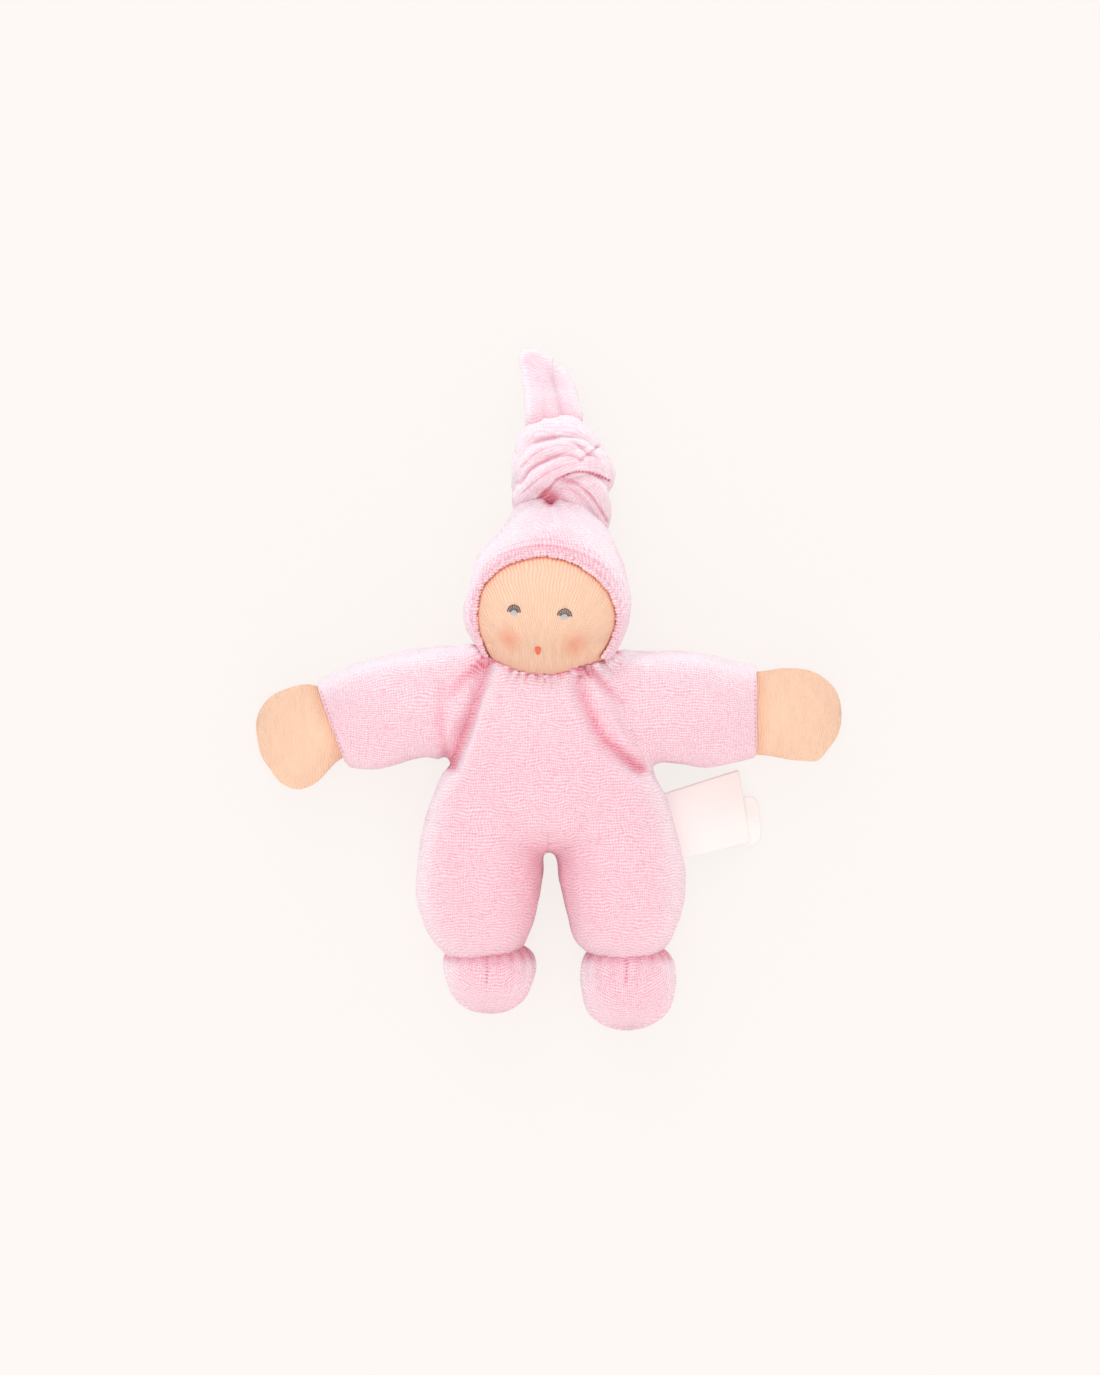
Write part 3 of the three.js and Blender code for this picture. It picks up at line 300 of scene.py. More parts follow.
class Skin:
    """A closed surface in millimetres, as points and faces, on which cloth is shaped."""

    def __init__(self, points: Points, faces: Iterable[Sequence[int]]) -> None:
        """Keep a surface.

        Args:
            points: The points, one row each.
            faces: The faces, each a list of point numbers.
        """
        self.points = np.asarray(points, float)
        self.faces: list[Face] = [tuple(int(i) for i in face) for face in faces]
        self.sharp: set[Face] = set()
        self.cap_faces = 0
        self._triangles: np.ndarray | None = None

    @property
    def triangles(self) -> np.ndarray:
        """The faces as triangles of point numbers."""
        if self._triangles is None:
            fans = [(f[0], f[k], f[k + 1]) for f in self.faces for k in range(1, len(f) - 1)]
            self._triangles = np.array(fans)
        return self._triangles

    def _faced(self, sides: np.ndarray) -> Points:
        """Work out the way that triangles face, twice as long as their area."""
        a, b, c = (self.points[sides[:, k]] for k in range(3))
        return np.cross(b - a, c - a)

    def normals(self) -> Points:
        """Work out which way the surface faces at each point, leaving out the caps over cut ends.

        Returns:
            A vector of length one for each point.
        """
        sides = self.triangles[: len(self.triangles) - self.cap_faces]
        faced = self._faced(sides)
        total = np.zeros_like(self.points)
        for k in range(3):
            for axis in range(3):
                total[:, axis] += np.bincount(sides[:, k], faced[:, axis], len(total))
        return total / np.maximum(np.linalg.norm(total, axis=1), 1e-12)[:, None]

    def sunk(self, times: int) -> Values:
        """Measure how far each point lies under the surface smoothed a number of times, in mm."""
        level = Skin(self.points, self.faces).smooth(times)
        return ((level.points - self.points) * self.normals()).sum(1)

    def area(self) -> float:
        """Measure the surface in square mm."""
        return float(np.linalg.norm(self._faced(self.triangles), axis=1).sum() / 2)

    def push(self, amount: Values) -> "Skin":
        """Move the surface outwards by an amount at each point, in mm, with inwards below 0."""
        self.points = self.points + self.normals() * np.asarray(amount)[:, None]
        return self

    def smooth(self, times: int, share: float = 0.5) -> "Skin":
        """Draw each point towards the middle of its neighbours.

        Args:
            times: How often.
            share: How far each time.

        Returns:
            This surface.
        """
        tri = self.triangles
        first = np.concatenate([tri[:, k] for k in (0, 1, 2, 1, 2, 0)])
        second = np.concatenate([tri[:, k] for k in (1, 2, 0, 0, 1, 2)])
        count = len(self.points)
        number = np.maximum(np.bincount(first, minlength=count), 1)
        for _ in range(times):
            sums = [np.bincount(first, self.points[second, k], count) for k in range(3)]
            self.points = self.points + share * (np.stack(sums, axis=1) / number[:, None] - self.points)
        return self

    def settle(self, softness: float = 0.7) -> "Skin":
        """Flatten the surface where it would sink below the floor, as gently as the softness in mm says."""
        raised_or_highlit = softness * (np.logaddexp(0.0, self.points[:, 2] / softness) - 0.6 * math.log(2))
        self.points[:, 2] = np.maximum(raised_or_highlit, 0.0)
        return self

    def keep_out(self, centre: Points, radius: Values | float) -> "Skin":
        """Move what lies inside a ball, of one radius or one for each point, out to its surface."""
        away = self.points - centre
        distance = np.maximum(np.linalg.norm(away, axis=1), 1e-6)
        self.points = centre + away * (np.maximum(distance, radius) / distance)[:, None]
        return self


def between_rings(rings: int, around: int, first: int = 0, looped: bool = False) -> list[Face]:
    """Number the four-sided faces between rings of points.

    Args:
        rings: How many rings there are.
        around: How many points each ring has.
        first: The number of the first ring's first point.
        looped: Whether the last ring joins the first.

    Returns:
        The faces.
    """
    faces: list[Face] = []
    for i in range(rings if looped else rings - 1):
        low, high = first + i * around, first + (i + 1) % rings * around
        faces += [(low + j, low + (j + 1) % around, high + (j + 1) % around, high + j) for j in range(around)]
    return faces


def two_sided(faces: Sequence[Face], rim: Sequence[int], shift: int, start: int = 0) -> list[Face]:
    """Give a sheet of faces its other side and its edge.

    Args:
        faces: The faces of the first side.
        rim: The points along its edge, in order.
        shift: How much higher the numbers of the other side's points are.
        start: Which point of a turned face comes first, from which its square is split.

    Returns:
        All faces of the closed sheet.
    """
    turned = [tuple(shift + i for i in face[::-1]) for face in faces]
    under = [face[start:] + face[:start] for face in turned]
    return [*faces, *under, *((a, b, shift + b, shift + a) for a, b in zip(rim, [*rim[1:], rim[0]]))]


def shell_of_rings(rings: Sequence[Points], first_pole: Points, last_pole: Points) -> Skin:
    """Close rings of points into a skin.

    Args:
        rings: The rings, each with the same number of points.
        first_pole: The point before the first ring.
        last_pole: The point after the last ring.

    Returns:
        The closed skin, with its faces outwards.
    """
    around = len(rings[0])
    points = np.vstack([first_pole, *rings, last_pole])
    last = len(points) - 1
    faces = [(0, 1 + (j + 1) % around, 1 + j) for j in range(around)]
    faces += [(last - around + j, last - around + (j + 1) % around, last) for j in range(around)]
    return turned_out(Skin(points, faces + between_rings(len(rings), around, 1)))


@dataclass(frozen=True)
class StuffedForm:
    """A stuffed form from pole to pole, rounded through its rows.

    Attributes:
        axis: The axis along which it is laid out.
        rows: Rows of (along, low, high, under, over): its two edges seen from above and its lowest and
            highest place, in mm, with a pole where low equals high.
        squareness: The power of its section, 2 for an ellipse.
    """

    axis: Axis
    rows: Rows
    squareness: float = 2.2

    def _middle(self, along: Values) -> list[Values]:
        """Find the middle of the form, across and in height, at places along it."""
        rows = np.array(self.rows)
        place = rows[:, 0]
        i = np.clip(np.searchsorted(place, along) - 1, 0, len(place) - 2)
        span = place[i + 1] - place[i]
        t = np.clip((along - place[i]) / span, 0, 1)
        found = []
        for value in ((rows[:, 1] + rows[:, 2]) / 2, (rows[:, 3] + rows[:, 4]) / 2):
            slope = np.gradient(value, place)
            straight = value[i] + (value[i + 1] - value[i]) * t * t * (3 - 2 * t)
            found.append(straight + (slope[i] * t * (1 - t) ** 2 - slope[i + 1] * t * t * (1 - t)) * span)
        return found

    def skin(self, rings: int = 60, around: int = 72) -> Skin:
        """Make the form's surface.

        Args:
            rings: How many sections it has.
            around: How many points each section has.

        Returns:
            The closed skin.
        """
        rows = np.array(self.rows)
        half = np.stack([rows[:, 0], (rows[:, 2] - rows[:, 1]) / 2, (rows[:, 4] - rows[:, 3]) / 2], axis=1)
        drawn = curve_through(np.vstack([half, half[1:-1][::-1] * (1, -1, -1)]), True, 24)
        outward = evenly(drawn[: 24 * (len(half) - 1) + 1], rings + 1)
        turn = np.linspace(0, FULL_TURN, around, endpoint=False)
        circle = (np.cos(turn), np.sin(turn))
        wide, deep = (np.sign(way) * np.abs(way) ** (2 / self.squareness) for way in circle)
        order = (0, 1, 2) if self.axis is Axis.X else (1, 0, 2)
        sections = []
        for (along, w, d), across, height in zip(outward, *self._middle(outward[:, 0])):
            values = (np.full(around, along), across + abs(w) * wide, height + abs(d) * deep)
            sections.append(np.stack([values[k] for k in order], axis=1))
        return shell_of_rings(sections[1:-1], sections[0].mean(0), sections[-1].mean(0))


def round_form(profile: Sequence[tuple[float, float]]) -> StuffedForm:
    """Make a round form on the line through the middle of the head, from places and radii along it."""
    rows = ((y, HEAD[0] - r, HEAD[0] + r, HEAD[2] - r, HEAD[2] + r) for y, r in profile)
    return StuffedForm(Axis.Y, tuple(rows), 2.0)


@dataclass(frozen=True)
class Band:
    """A rolled band of cloth along a curve.

    Attributes:
        line: Places (x, y, z) that its middle passes.
        thick: Its thickness away from the centre of what it is wound on.
        wide: Its width.
        creases: How many soft creases run along it.
    """

    line: Sequence[Place]
    thick: float
    wide: float
    creases: int = 3

    def _frame(self, centre: Points, steps: int) -> tuple[Points, Points, Points]:
        """Work out places along the band's middle and its ways outwards from a centre and across."""
        line = evenly(curve_through(self.line, False, 24), steps + 1)
        tangents = unit(np.gradient(line, axis=0))
        out = line - centre
        out = unit(out - (out * tangents).sum(1)[:, None] * tangents)
        return line, out, np.cross(tangents, out)

    def weave(self, points: Points, centre: Points) -> tuple[Values, Points]:
        """Lay the cloth's rows along the band.

        Args:
            points: The points.
            centre: The middle of what it is wound on.

        Returns:
            How far each point is from the band, as a share of its size, and the cloth's coordinates there.
        """
        line, out, across = self._frame(centre, 60)
        step = np.linalg.norm(np.diff(line, axis=0), axis=1).mean()
        away = points[:, None, :] - line[None]
        nearest = np.argmin((away**2).sum(2), axis=1)
        away = away[np.arange(len(points)), nearest]
        sideways = (away * across[nearest]).sum(1)
        outwards = (away * out[nearest]).sum(1)
        share = np.hypot(sideways / self.wide, outwards / self.thick)
        return share, np.stack([nearest * step, sideways, outwards], axis=1)

    def skin(self, centre: Points, steps: int = 60, around: int = 36) -> Skin:
        """Make the band's surface.

        Args:
            centre: The middle of what it is wound on.
            steps: How many sections it has.
            around: How many points each section has.

        Returns:
            The closed skin.
        """
        line, out, across = self._frame(centre, steps)
        turn = np.linspace(0, FULL_TURN, around, endpoint=False)
        passed = np.linspace(0, 1, steps + 1)
        size = np.sqrt(1 - (1 - np.minimum(1, np.minimum(passed, 1 - passed) / 0.09)) ** 2)
        fold = 1 + 0.05 * np.cos(self.creases * turn + 0.8)
        sections = []
        for place, o, a, s in zip(line, out, across, size):
            reach = np.outer(np.cos(turn) * fold * self.thick / 2, o)
            side = np.outer(np.sin(turn) * fold * self.wide / 2, a)
            sections.append(place + s * (reach + side))
        return shell_of_rings(sections[1:-1], line[0], line[-1])


def turned_out(skin: Skin) -> Skin:
    """Turn a closed skin's faces outwards."""
    a, b, c = (skin.points[skin.triangles[:, k]] for k in range(3))
    inwards = (a * np.cross(b, c)).sum() < 0
    return Skin(skin.points, [face[::-1] for face in skin.faces]) if inwards else skin


def joined(skins: Sequence[Skin]) -> Skin:
    """Put closed skins together into one skin with all their points and faces."""
    starts = np.cumsum([0, *(len(skin.points) for skin in skins)])
    faces = [tuple(start + i for i in face) for start, skin in zip(starts, skins) for face in skin.faces]
    return Skin(np.vstack([skin.points for skin in skins]), faces)


def mesh_of(skin: Skin, name: str) -> bpy.types.Mesh:
    """Make a mesh of a skin, in metres.

    Args:
        skin: The skin.
        name: The mesh's name.

    Returns:
        The mesh.
    """
    mesh = bpy.data.meshes.new(name)
    mesh.from_pydata((skin.points * MM).tolist(), [], skin.faces)
    mesh.update()
    return mesh


def placed(name: str, data: bpy.types.ID) -> bpy.types.Object:
    """Put an object into the scene."""
    obj = bpy.data.objects.new(name, data)
    bpy.context.scene.collection.objects.link(obj)
    return obj


def melded(skins: Sequence[Skin], voxel: float, smoothing: int) -> Skin:
    """Join overlapping skins into one even skin.

    Args:
        skins: The closed skins.
        voxel: The size of its faces in mm.
        smoothing: How often it is smoothed.

    Returns:
        The joined skin, of four-sided faces.
    """
    mesh = mesh_of(joined(skins), "melding")
    obj = placed("melding", mesh)
    modifier = obj.modifiers.new("meld", "REMESH")
    modifier.mode = "VOXEL"
    modifier.voxel_size = voxel * MM
    result = bpy.data.meshes.new_from_object(obj.evaluated_get(bpy.context.evaluated_depsgraph_get()))
    found = np.empty(len(result.vertices) * 3, np.float32)
    result.vertices.foreach_get("co", found)
    even = Skin(found.reshape(-1, 3) / MM, [tuple(p.vertices) for p in result.polygons])
    bpy.data.objects.remove(obj)
    bpy.data.meshes.remove(mesh)
    bpy.data.meshes.remove(result)
    return even.smooth(smoothing)


@dataclass(frozen=True)
class Cut:
    """A plane along which cloth is cut: a point on it, in mm, and the way it faces."""

    point: Place
    normal: Place

    def beyond(self, points: Points) -> Values:
        """Measure how far points are beyond the plane, in mm, below 0 behind it."""
        return (points - np.array(self.point)) @ unit(np.array(self.normal))

    def reach(self, start: float, end: float) -> tuple[Points, Points]:
        """Find the places at two distances from its point, along the way it faces."""
        return tuple(np.array(self.point) + np.array(self.normal) * far for far in (start, end))


def part_of(skin: Skin, cuts: Sequence[Cut], wanted: Callable[[Points], Values]) -> Skin:
    """Cut a closed piece out of a skin.

    Args:
        skin: The whole skin.
        cuts: The planes along which it is cut.
        wanted: Says of points whether they belong to the piece.

    Returns:
        The piece, closed over its cut ends, with its cut edges sharp.
    """
    mesh = mesh_of(skin, "cutting")
    work = bmesh.new()
    work.from_mesh(mesh)
    for cut in cuts:
        plane = {"plane_co": Vector(cut.point) * MM, "plane_no": Vector(cut.normal)}
        bmesh.ops.bisect_plane(work, geom=[*work.verts, *work.edges, *work.faces], dist=1e-7, **plane)
    kept = wanted(np.array([face.calc_center_median() for face in work.faces]) / MM)
    unwanted = [face for face, keep in zip(list(work.faces), kept) if not keep]
    bmesh.ops.delete(work, geom=unwanted, context="FACES")
    rim = [edge for edge in work.edges if edge.is_boundary]
    for edge in rim:
        edge.tag = True
    rim_points = {tuple(np.round(v.co, 7)) for edge in rim for v in edge.verts}
    filled = bmesh.ops.holes_fill(work, edges=rim, sides=0)["faces"]
    caps = set(bmesh.ops.triangulate(work, faces=filled)["faces"])
    bmesh.ops.recalc_face_normals(work, faces=work.faces)
    work.verts.ensure_lookup_table()
    ordered = sorted(work.faces, key=lambda face: face in caps)
    faces = [tuple(v.index for v in face.verts) for face in ordered]
    piece = Skin(np.array([v.co for v in work.verts]) / MM, faces)
    piece.cap_faces = len(caps)
    on_rim = {v.index for v in work.verts if tuple(np.round(v.co, 7)) in rim_points}
    tagged = (tuple(sorted(v.index for v in edge.verts)) for edge in work.edges if edge.tag)
    piece.sharp = {edge for edge in tagged if on_rim.issuperset(edge)}
    work.free()
    bpy.data.meshes.remove(mesh)
    return piece


# Finishes


def linear(code: str) -> tuple[float, float, float, float]:
    """Turn a colour written as #rrggbb into linear red, green and blue, with alpha 1."""
    parts = [int(code[i : i + 2], 16) / 255 for i in (1, 3, 5)]
    return (*(c / 12.92 if c <= 0.04045 else ((c + 0.055) / 1.055) ** 2.4 for c in parts), 1.0)


class Shader:
    """A material being put together from nodes."""

    def __init__(self, name: str) -> None:
        """Start an empty material with its output."""
        self.material = bpy.data.materials.new(name)
        self.material.use_nodes = True
        self.tree = self.material.node_tree
        self.tree.nodes.clear()

    def add(self, kind: str, inputs: dict | None = None, **settings: object) -> bpy.types.bpy_prop_collection:
        """Add a node with its settings and links.

        Args:
            kind: The node's type, without ShaderNode.
            inputs: A value or another node's output for inputs, by their names or numbers.
            **settings: The node's own settings.

        Returns:
            The node's outputs.
        """
        node = self.tree.nodes.new("ShaderNode" + kind)
        for key, value in settings.items():
            setattr(node, key, value)
        for key, value in (inputs or {}).items():
            if isinstance(value, Socket):
                self.tree.links.new(value, node.inputs[key])
            else:
                node.inputs[key].default_value = value
        return node.outputs

    def ribs(self, cloth: Socket, across: int, spacing: float, wander: Socket | float) -> Socket:
        """Add fine ribs.

        Args:
            cloth: Where each point is on the cloth, in mm.
            across: The number of the coordinate that crosses the ribs.
            spacing: How far apart they are, in mm.
            wander: How far they stray, in mm.

        Returns:
            The ribs' height, from -1 to 1.
        """
        place = self.add("SeparateXYZ", {0: cloth})[across]
        strayed = self.add("Math", {0: place, 1: wander}, operation="ADD")[0]
        phase = self.add("Math", {0: strayed, 1: FULL_TURN / spacing}, operation="MULTIPLY")[0]
        return self.add("Math", {0: phase}, operation="SINE")[0]

    def layered(self, ground: float, *layers: tuple[Socket, float]) -> Socket:
        """Add up patterns over a ground level, each with its own strength.

        Args:
            ground: The level where every pattern is 0.
            *layers: Each pattern with its strength.

        Returns:
            The sum.
        """
        total: Socket | float = ground
        for pattern, strength in layers:
            total = self.add("Math", {0: pattern, 1: strength, 2: total}, operation="MULTIPLY_ADD")[0]
        return total

    def surfaced(self, colour: Socket, relief: Socket, roughness: float, more: dict) -> bpy.types.Material:
        """Finish the material with a cloth's surface.

        Args:
            colour: Its colour.
            relief: Its fine relief.
            roughness: How dull it is.
            more: Its fuzz and gloss, as the shader's own inputs.

        Returns:
            The finished material.
        """
        inputs = {"Base Color": colour, "Normal": relief, "Roughness": roughness, **more}
        self.add("OutputMaterial", {0: self.add("BsdfPrincipled", inputs)[0]})
        return self.material


class Finish:
    """How a cloth or thread looks. Each kind builds its own material."""

    def build(self) -> bpy.types.Material:
        """Put the material together."""
        raise NotImplementedError


@dataclass(frozen=True)
class Terry(Finish):
    """Cotton terry: soft loops in knitted rows, with painted highlight where the cloth faces the light and
    painted rose shade in folds and gaps.

    Attributes:
        name: The material's name.
        shades: Its colours: painted highlight, plain pile, painted shade in a fold, and deeper painted shade
            in a gap between folds.
        levels: Where on the painted shading each of these colours is reached, from 0 to 1.
        row: How far apart its knitted rows are, in mm.
        wale: How far apart the loops of a row are, in mm.
        pile: How high the loops stand, in mm.
        contrast: How much painted shade darkens the ground between loops against the tops of the loops.
    """

    name: str
    shades: tuple[str, str, str, str]
    levels: tuple[float, float, float, float] = (0.0, PLAIN_PILE, 0.75, 1.0)
    row: float = KNIT_ROW
    wale: float = KNIT_WALE
    pile: float = 0.36
    contrast: float = 0.24

    def build(self) -> bpy.types.Material:
        """Put the material together.

        Returns:
            The material.
        """
        made = Shader(self.name)
        cloth = made.add("Attribute", attribute_name="cloth")["Vector"]
        hollow = made.add("Attribute", attribute_name="hollow")["Fac"]
        # The cloth is stretched unevenly over its filling, so the rows waver
        drift = made.add("TexNoise", {"Vector": cloth, "Scale": 0.09, "Detail": 2.0})["Fac"]
        wander = made.layered(-2.5, (drift, 5.0))
        rows = made.ribs(cloth, 1, self.row, wander)
        wales = made.ribs(cloth, 0, self.wale, wander)
        # Each loop of the pile stands up by itself
        bunched = {"Vector": cloth, "Scale": LOOPS_PER_MM, "Smoothness": 0.5}
        gap = made.add("TexVoronoi", bunched, feature="SMOOTH_F1")["Distance"]
        fuzz = made.add("TexNoise", {"Vector": cloth, "Scale": 2.6, "Detail": 2.0, "Roughness": 0.6})["Fac"]
        height = made.layered(-0.0375, (rows, 0.58), (wales, 0.34), (gap, -1.25), (fuzz, 1.2))
        relief = made.add("Bump", {"Height": height, "Strength": 0.48, "Distance": self.pile * MM})[0]
        plain, fold = self.levels[1:3]
        # Painted shade deepens the colour between the loops and in folds and gaps; below the plain level it
        # turns to painted highlight
        level = made.layered(plain + 0.15 * self.contrast, (height, -self.contrast), (hollow, fold - plain))
        ramp = made.add("ValToRGB", {0: level})[0]
        stops = ramp.node.color_ramp.elements
        while len(stops) < len(self.shades):
            stops.new(0.5)
        for stop, place, shade in zip(stops, self.levels, self.shades):
            stop.position = place
            stop.color = linear(shade)
        # The fuzz of the brushed pile gives a pale rim
        fuzzy = {"Sheen Weight": 0.6, "Sheen Roughness": 0.42, "Sheen Tint": linear("#ffeef6")}
        return made.surfaced(ramp, relief, 0.92, {**fuzzy, "Specular IOR Level": 0.15})


@dataclass(frozen=True)
class Jersey(Finish):
    """Fine skin-coloured cotton jersey: narrow ribs, a peach blush, and painted warm shade where it goes
    under.

    Attributes:
        name: The material's name.
        light: Its colour.
        deep: Its painted shade colour where it goes under the cap or sleeve.
        blush: The colour of the cheeks.
        rib: How far apart its ribs are, in mm.
        contrast: How much painted shade deepens its colour between the ribs.
    """

    name: str
    light: str
    deep: str
    blush: str
    rib: float = 1.35
    contrast: float = 0.5

    def build(self) -> bpy.types.Material:
        """Put the material together.

        Returns:
            The material.
        """
        made = Shader(self.name)
        cloth = made.add("Attribute", attribute_name="cloth")["Vector"]
        hollow = made.add("Attribute", attribute_name="hollow")["Fac"]
        cheek = made.add("Attribute", attribute_name="blush")["Fac"]
        drift = made.add("TexNoise", {"Vector": cloth, "Scale": 0.16, "Detail": 1.0})["Fac"]
        ribs = made.ribs(cloth, 0, self.rib, made.layered(0.0, (drift, 2.4)))
        grain = made.add("TexNoise", {"Vector": cloth, "Scale": 2.4, "Detail": 2.0})["Fac"]
        height = made.layered(-0.4, (ribs, 0.5), (grain, 0.8))
        relief = made.add("Bump", {"Height": height, "Strength": 0.8, "Distance": 0.3 * MM})[0]
        # Painted shade between the ribs and where the jersey goes under the hem or cuff
        depth = made.layered(0.1 * self.contrast, (height, -self.contrast), (hollow, 1.0))
        shades = {0: depth, 6: linear(self.light), 7: linear(self.deep)}
        plain = made.add("Mix", shades, data_type="RGBA")[2]
        rosy = made.add("Mix", {0: cheek, 6: plain, 7: linear(self.blush)}, data_type="RGBA")[2]
        fuzzy = {"Sheen Weight": 0.15, "Sheen Roughness": 0.4, "Specular IOR Level": 0.2}
        return made.surfaced(rosy, relief, 0.85, fuzzy)


@dataclass(frozen=True)
class Thread(Finish):
    """Twisted thread or ribbon: one colour with the fine ribs of its strands.

    Attributes:
        name: The material's name.
        colour: Its colour.
        roughness: How dull it is.
        rib: How far apart its ribs are, in mm.
        rib_height: How high they stand, in mm.
        sheen: How much of it is fuzz.
    """

    name: str
    colour: str
    roughness: float = 0.55
    rib: float = 0.4
    rib_height: float = 0.05
    sheen: float = 0.15

    def build(self) -> bpy.types.Material:
        """Put the material together.

        Returns:
            The material.
        """
        made = Shader(self.name)
        cloth = made.add("Attribute", attribute_name="cloth")["Vector"]
        ribs = made.ribs(cloth, 1, self.rib, 0.0)
        distance = self.rib_height * MM / 2
        relief = made.add("Bump", {"Height": ribs, "Strength": 0.4, "Distance": distance})[0]
        # Painted shade darkens the thread a little between its strands
        between = made.layered(0.03, (ribs, -0.03))
        shades = {0: between, 6: linear(self.colour), 7: linear("#000000")}
        shaded = made.add("Mix", shades, data_type="RGBA")[2]
        return made.surfaced(shaded, relief, self.roughness, {"Sheen Weight": self.sheen})


# The pile with painted highlight, plain, with painted shade in a fold and with deeper painted shade in a gap
# between folds
PINKS = ("#fcf1f8", "#f4d1db", "#ee96a8", "#cc5870")


class Cloth(Enum):
    """The doll's cloths and threads, each with its record slot."""

    TERRY = ("pink_terry", Terry("brushed_pink_terry", PINKS))
    TIGHT_TERRY = ("pink_terry", Terry("tightly_tied_pink_terry", PINKS, contrast=0.13))
    FACE = ("skin_jersey", Jersey("face_jersey", "#f9d4b8", "#ea8a62", "#f4a080"))
    HAND = ("skin_jersey", Jersey("hand_jersey", "#f9d0b3", "#f1b189", "#f29c7c", 1.1, 0.16))
    WOOL = ("wool_fill", Thread("carded_wool", "#f3ead8", 1.0, 0.9, 0.3, 0.5))
    CORD = ("neck_cord", Thread("twisted_neck_cord", "#ece2cf", 0.8, 0.7, 0.2, 0.2))
    EYE_DARK = ("eye_floss", Thread("grey_eye_floss", "#4e4c52"))
    EYE_LIGHT = ("eye_floss", Thread("pale_blue_eye_floss", "#c3c6c6"))
    MOUTH = ("mouth_floss", Thread("coral_mouth_floss", "#e8694a"))
    SATIN = ("label_satin", Thread("satin_label_ribbon", "#fdf3f0", 0.45, 0.5, 0.03, 0.05))
    STITCH = ("pink_terry", Thread("rose_sewing_thread", "#e48a9f", 0.6, 0.5, 0.05, 0.1))

    def __init__(self, slot: str, finish: Finish) -> None:
        """Keep the cloth's record slot and how it looks."""
        self.slot = slot
        self.finish = finish

    @property
    def material(self) -> bpy.types.Material:
        """The cloth's material, built when it is first used."""
        return bpy.data.materials.get(self.finish.name) or self.finish.build()


# Pieces


def knitted_round(
    points: Points,
    axis: Axis,
    middle: tuple[Values | float, float],
    half: tuple[Values | float, Values | float],
    centre: float | None = None,
) -> Points:
    """Wind the knit round a stuffed form, evenly all the way to where it closes along the back.

    Args:
        points: Places on the form.
        axis: The axis along which the form lies, which its rows cross along Y and follow along X.
        middle: Where its middle is across and in height.
        half: Half its width and half its depth.
        centre: Where its middle is along it, if the knit goes on over its round ends.

    Returns:
        The knit's own coordinates in mm.
    """
    along = points[:, axis.value]
    sideways = (points[:, 1 - axis.value] - middle[0]) / half[0]
    upwards = (points[:, 2] - middle[1]) / half[1]
    around = middle[0] + half[0] * np.arctan2(sideways, upwards)
    if centre is not None:
        past = 0.5 * np.clip(1 - np.hypot(sideways, upwards), 0, 1) * half[0]
        along = along + np.tanh((along - centre) / 8) * past
    laid = (along, around) if axis is Axis.X else (around, along)
    return np.stack([*laid, 0.3 * points[:, 2]], axis=1)


@lru_cache(maxsize=None)
def facing_of(whole: Skin) -> tuple[KDTree, Points]:
    """Work out which way a stuffed form faces in general, with its creases smoothed away.

    Args:
        whole: The form's surface.

    Returns:
        A tree that finds the surface's points, and the way that each of them faces.
    """
    facing = Skin(whole.points, whole.faces).smooth(70).normals()
    tree = KDTree(len(facing))
    for number, place in enumerate(whole.points.tolist()):
        tree.insert(place, number)
    tree.balance()
    return tree, facing


def painted_highlight(points: Points, whole: Skin) -> Values:
    """Say how much highlight is painted where the cloth curves away, most where it faces the cap and the
    window light.

    Args:
        points: Places on the cloth.
        whole: The surface that they are on, whose creases don't count.

    Returns:
        Values from 0 to 1.
    """
    tree, facing = facing_of(whole)
    facing = facing[[tree.find(place)[1] for place in points.tolist()]]
    edge = smoothstep(1 - np.abs(facing[:, 2]), 0.02, 0.6)
    return edge * np.clip(0.52 - 0.1 * facing[:, 0] + 0.44 * facing[:, 1], 0, 1)


@dataclass
class Piece:
    """One sewn, stitched or tied piece of the doll.

    Attributes:
        name: Its name.
        skin: Its closed surface.
        cloth: What it is made of.
        stands_for: The CAD nodes that it replaces.
        hollow: How much shade is painted at each point, from 0 to 1, with painted highlight below 0.
        weave: The cloth's own coordinates in mm, where they aren't the places of its points.
        blush: How rosy each point is, from 0 to 1.
        whole: The skin whose form says where highlight is painted, where that isn't its own.
    """

    name: str
    skin: Skin
    cloth: Cloth
    stands_for: tuple[str, ...] = ()
    hollow: Field | None = None
    weave: Callable[[Points], Points] | None = None
    blush: Field | None = None
    whole: Skin | None = None

    def __post_init__(self) -> None:
        """Make the object, with its finish."""
        mesh = self.mesh = mesh_of(self.skin, self.name)
        mesh.shade_smooth()
        if self.skin.sharp:
            for edge in mesh.edges:
                edge.use_edge_sharp = tuple(sorted(edge.vertices)) in self.skin.sharp
        points = self.skin.points
        weave = self.weave(points) if self.weave else points
        mesh.attributes.new("cloth", "FLOAT_VECTOR", "POINT").data.foreach_set("vector", weave.ravel())
        if self.hollow:
            depth = self.hollow(points)
            if isinstance(self.cloth.finish, Terry):
                # Painted highlight where the terry curves away and faces the window light, kept out of
                # painted folds and gaps
                raised_or_highlit = painted_highlight(points, self.whole or self.skin)
                depth = depth - raised_or_highlit * (1 - np.clip(2.5 * depth - 0.3, 0, 1))
            self._mark("hollow", depth)
        if self.blush:
            self._mark("blush", self.blush(points))
        mesh.materials.append(self.cloth.material)
        self.obj = placed(self.name, mesh)
        if self.stands_for:
            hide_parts(*self.stands_for)
        log.info("%s: %d faces", self.name, len(mesh.polygons))

    def _mark(self, word: str, values: Values) -> None:
        """Keep a value for each point in the mesh, under a name."""
        kept = np.clip(values, -1, 1).astype(np.float32)
        self.mesh.attributes.new(word, "FLOAT", "POINT").data.foreach_set("value", kept)

    def rides(self, body: str) -> "Piece":
        """Let the piece move with a body."""
        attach(self.obj, body)
        return self

    def bends(self, first: str, second: str, start: Points, end: Points) -> "Piece":
        """Bake the piece's placement into its mesh."""
        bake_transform(self.obj)
        return self

    def stuffed(self) -> "Piece":
        """Give the piece back as it is."""
        return self


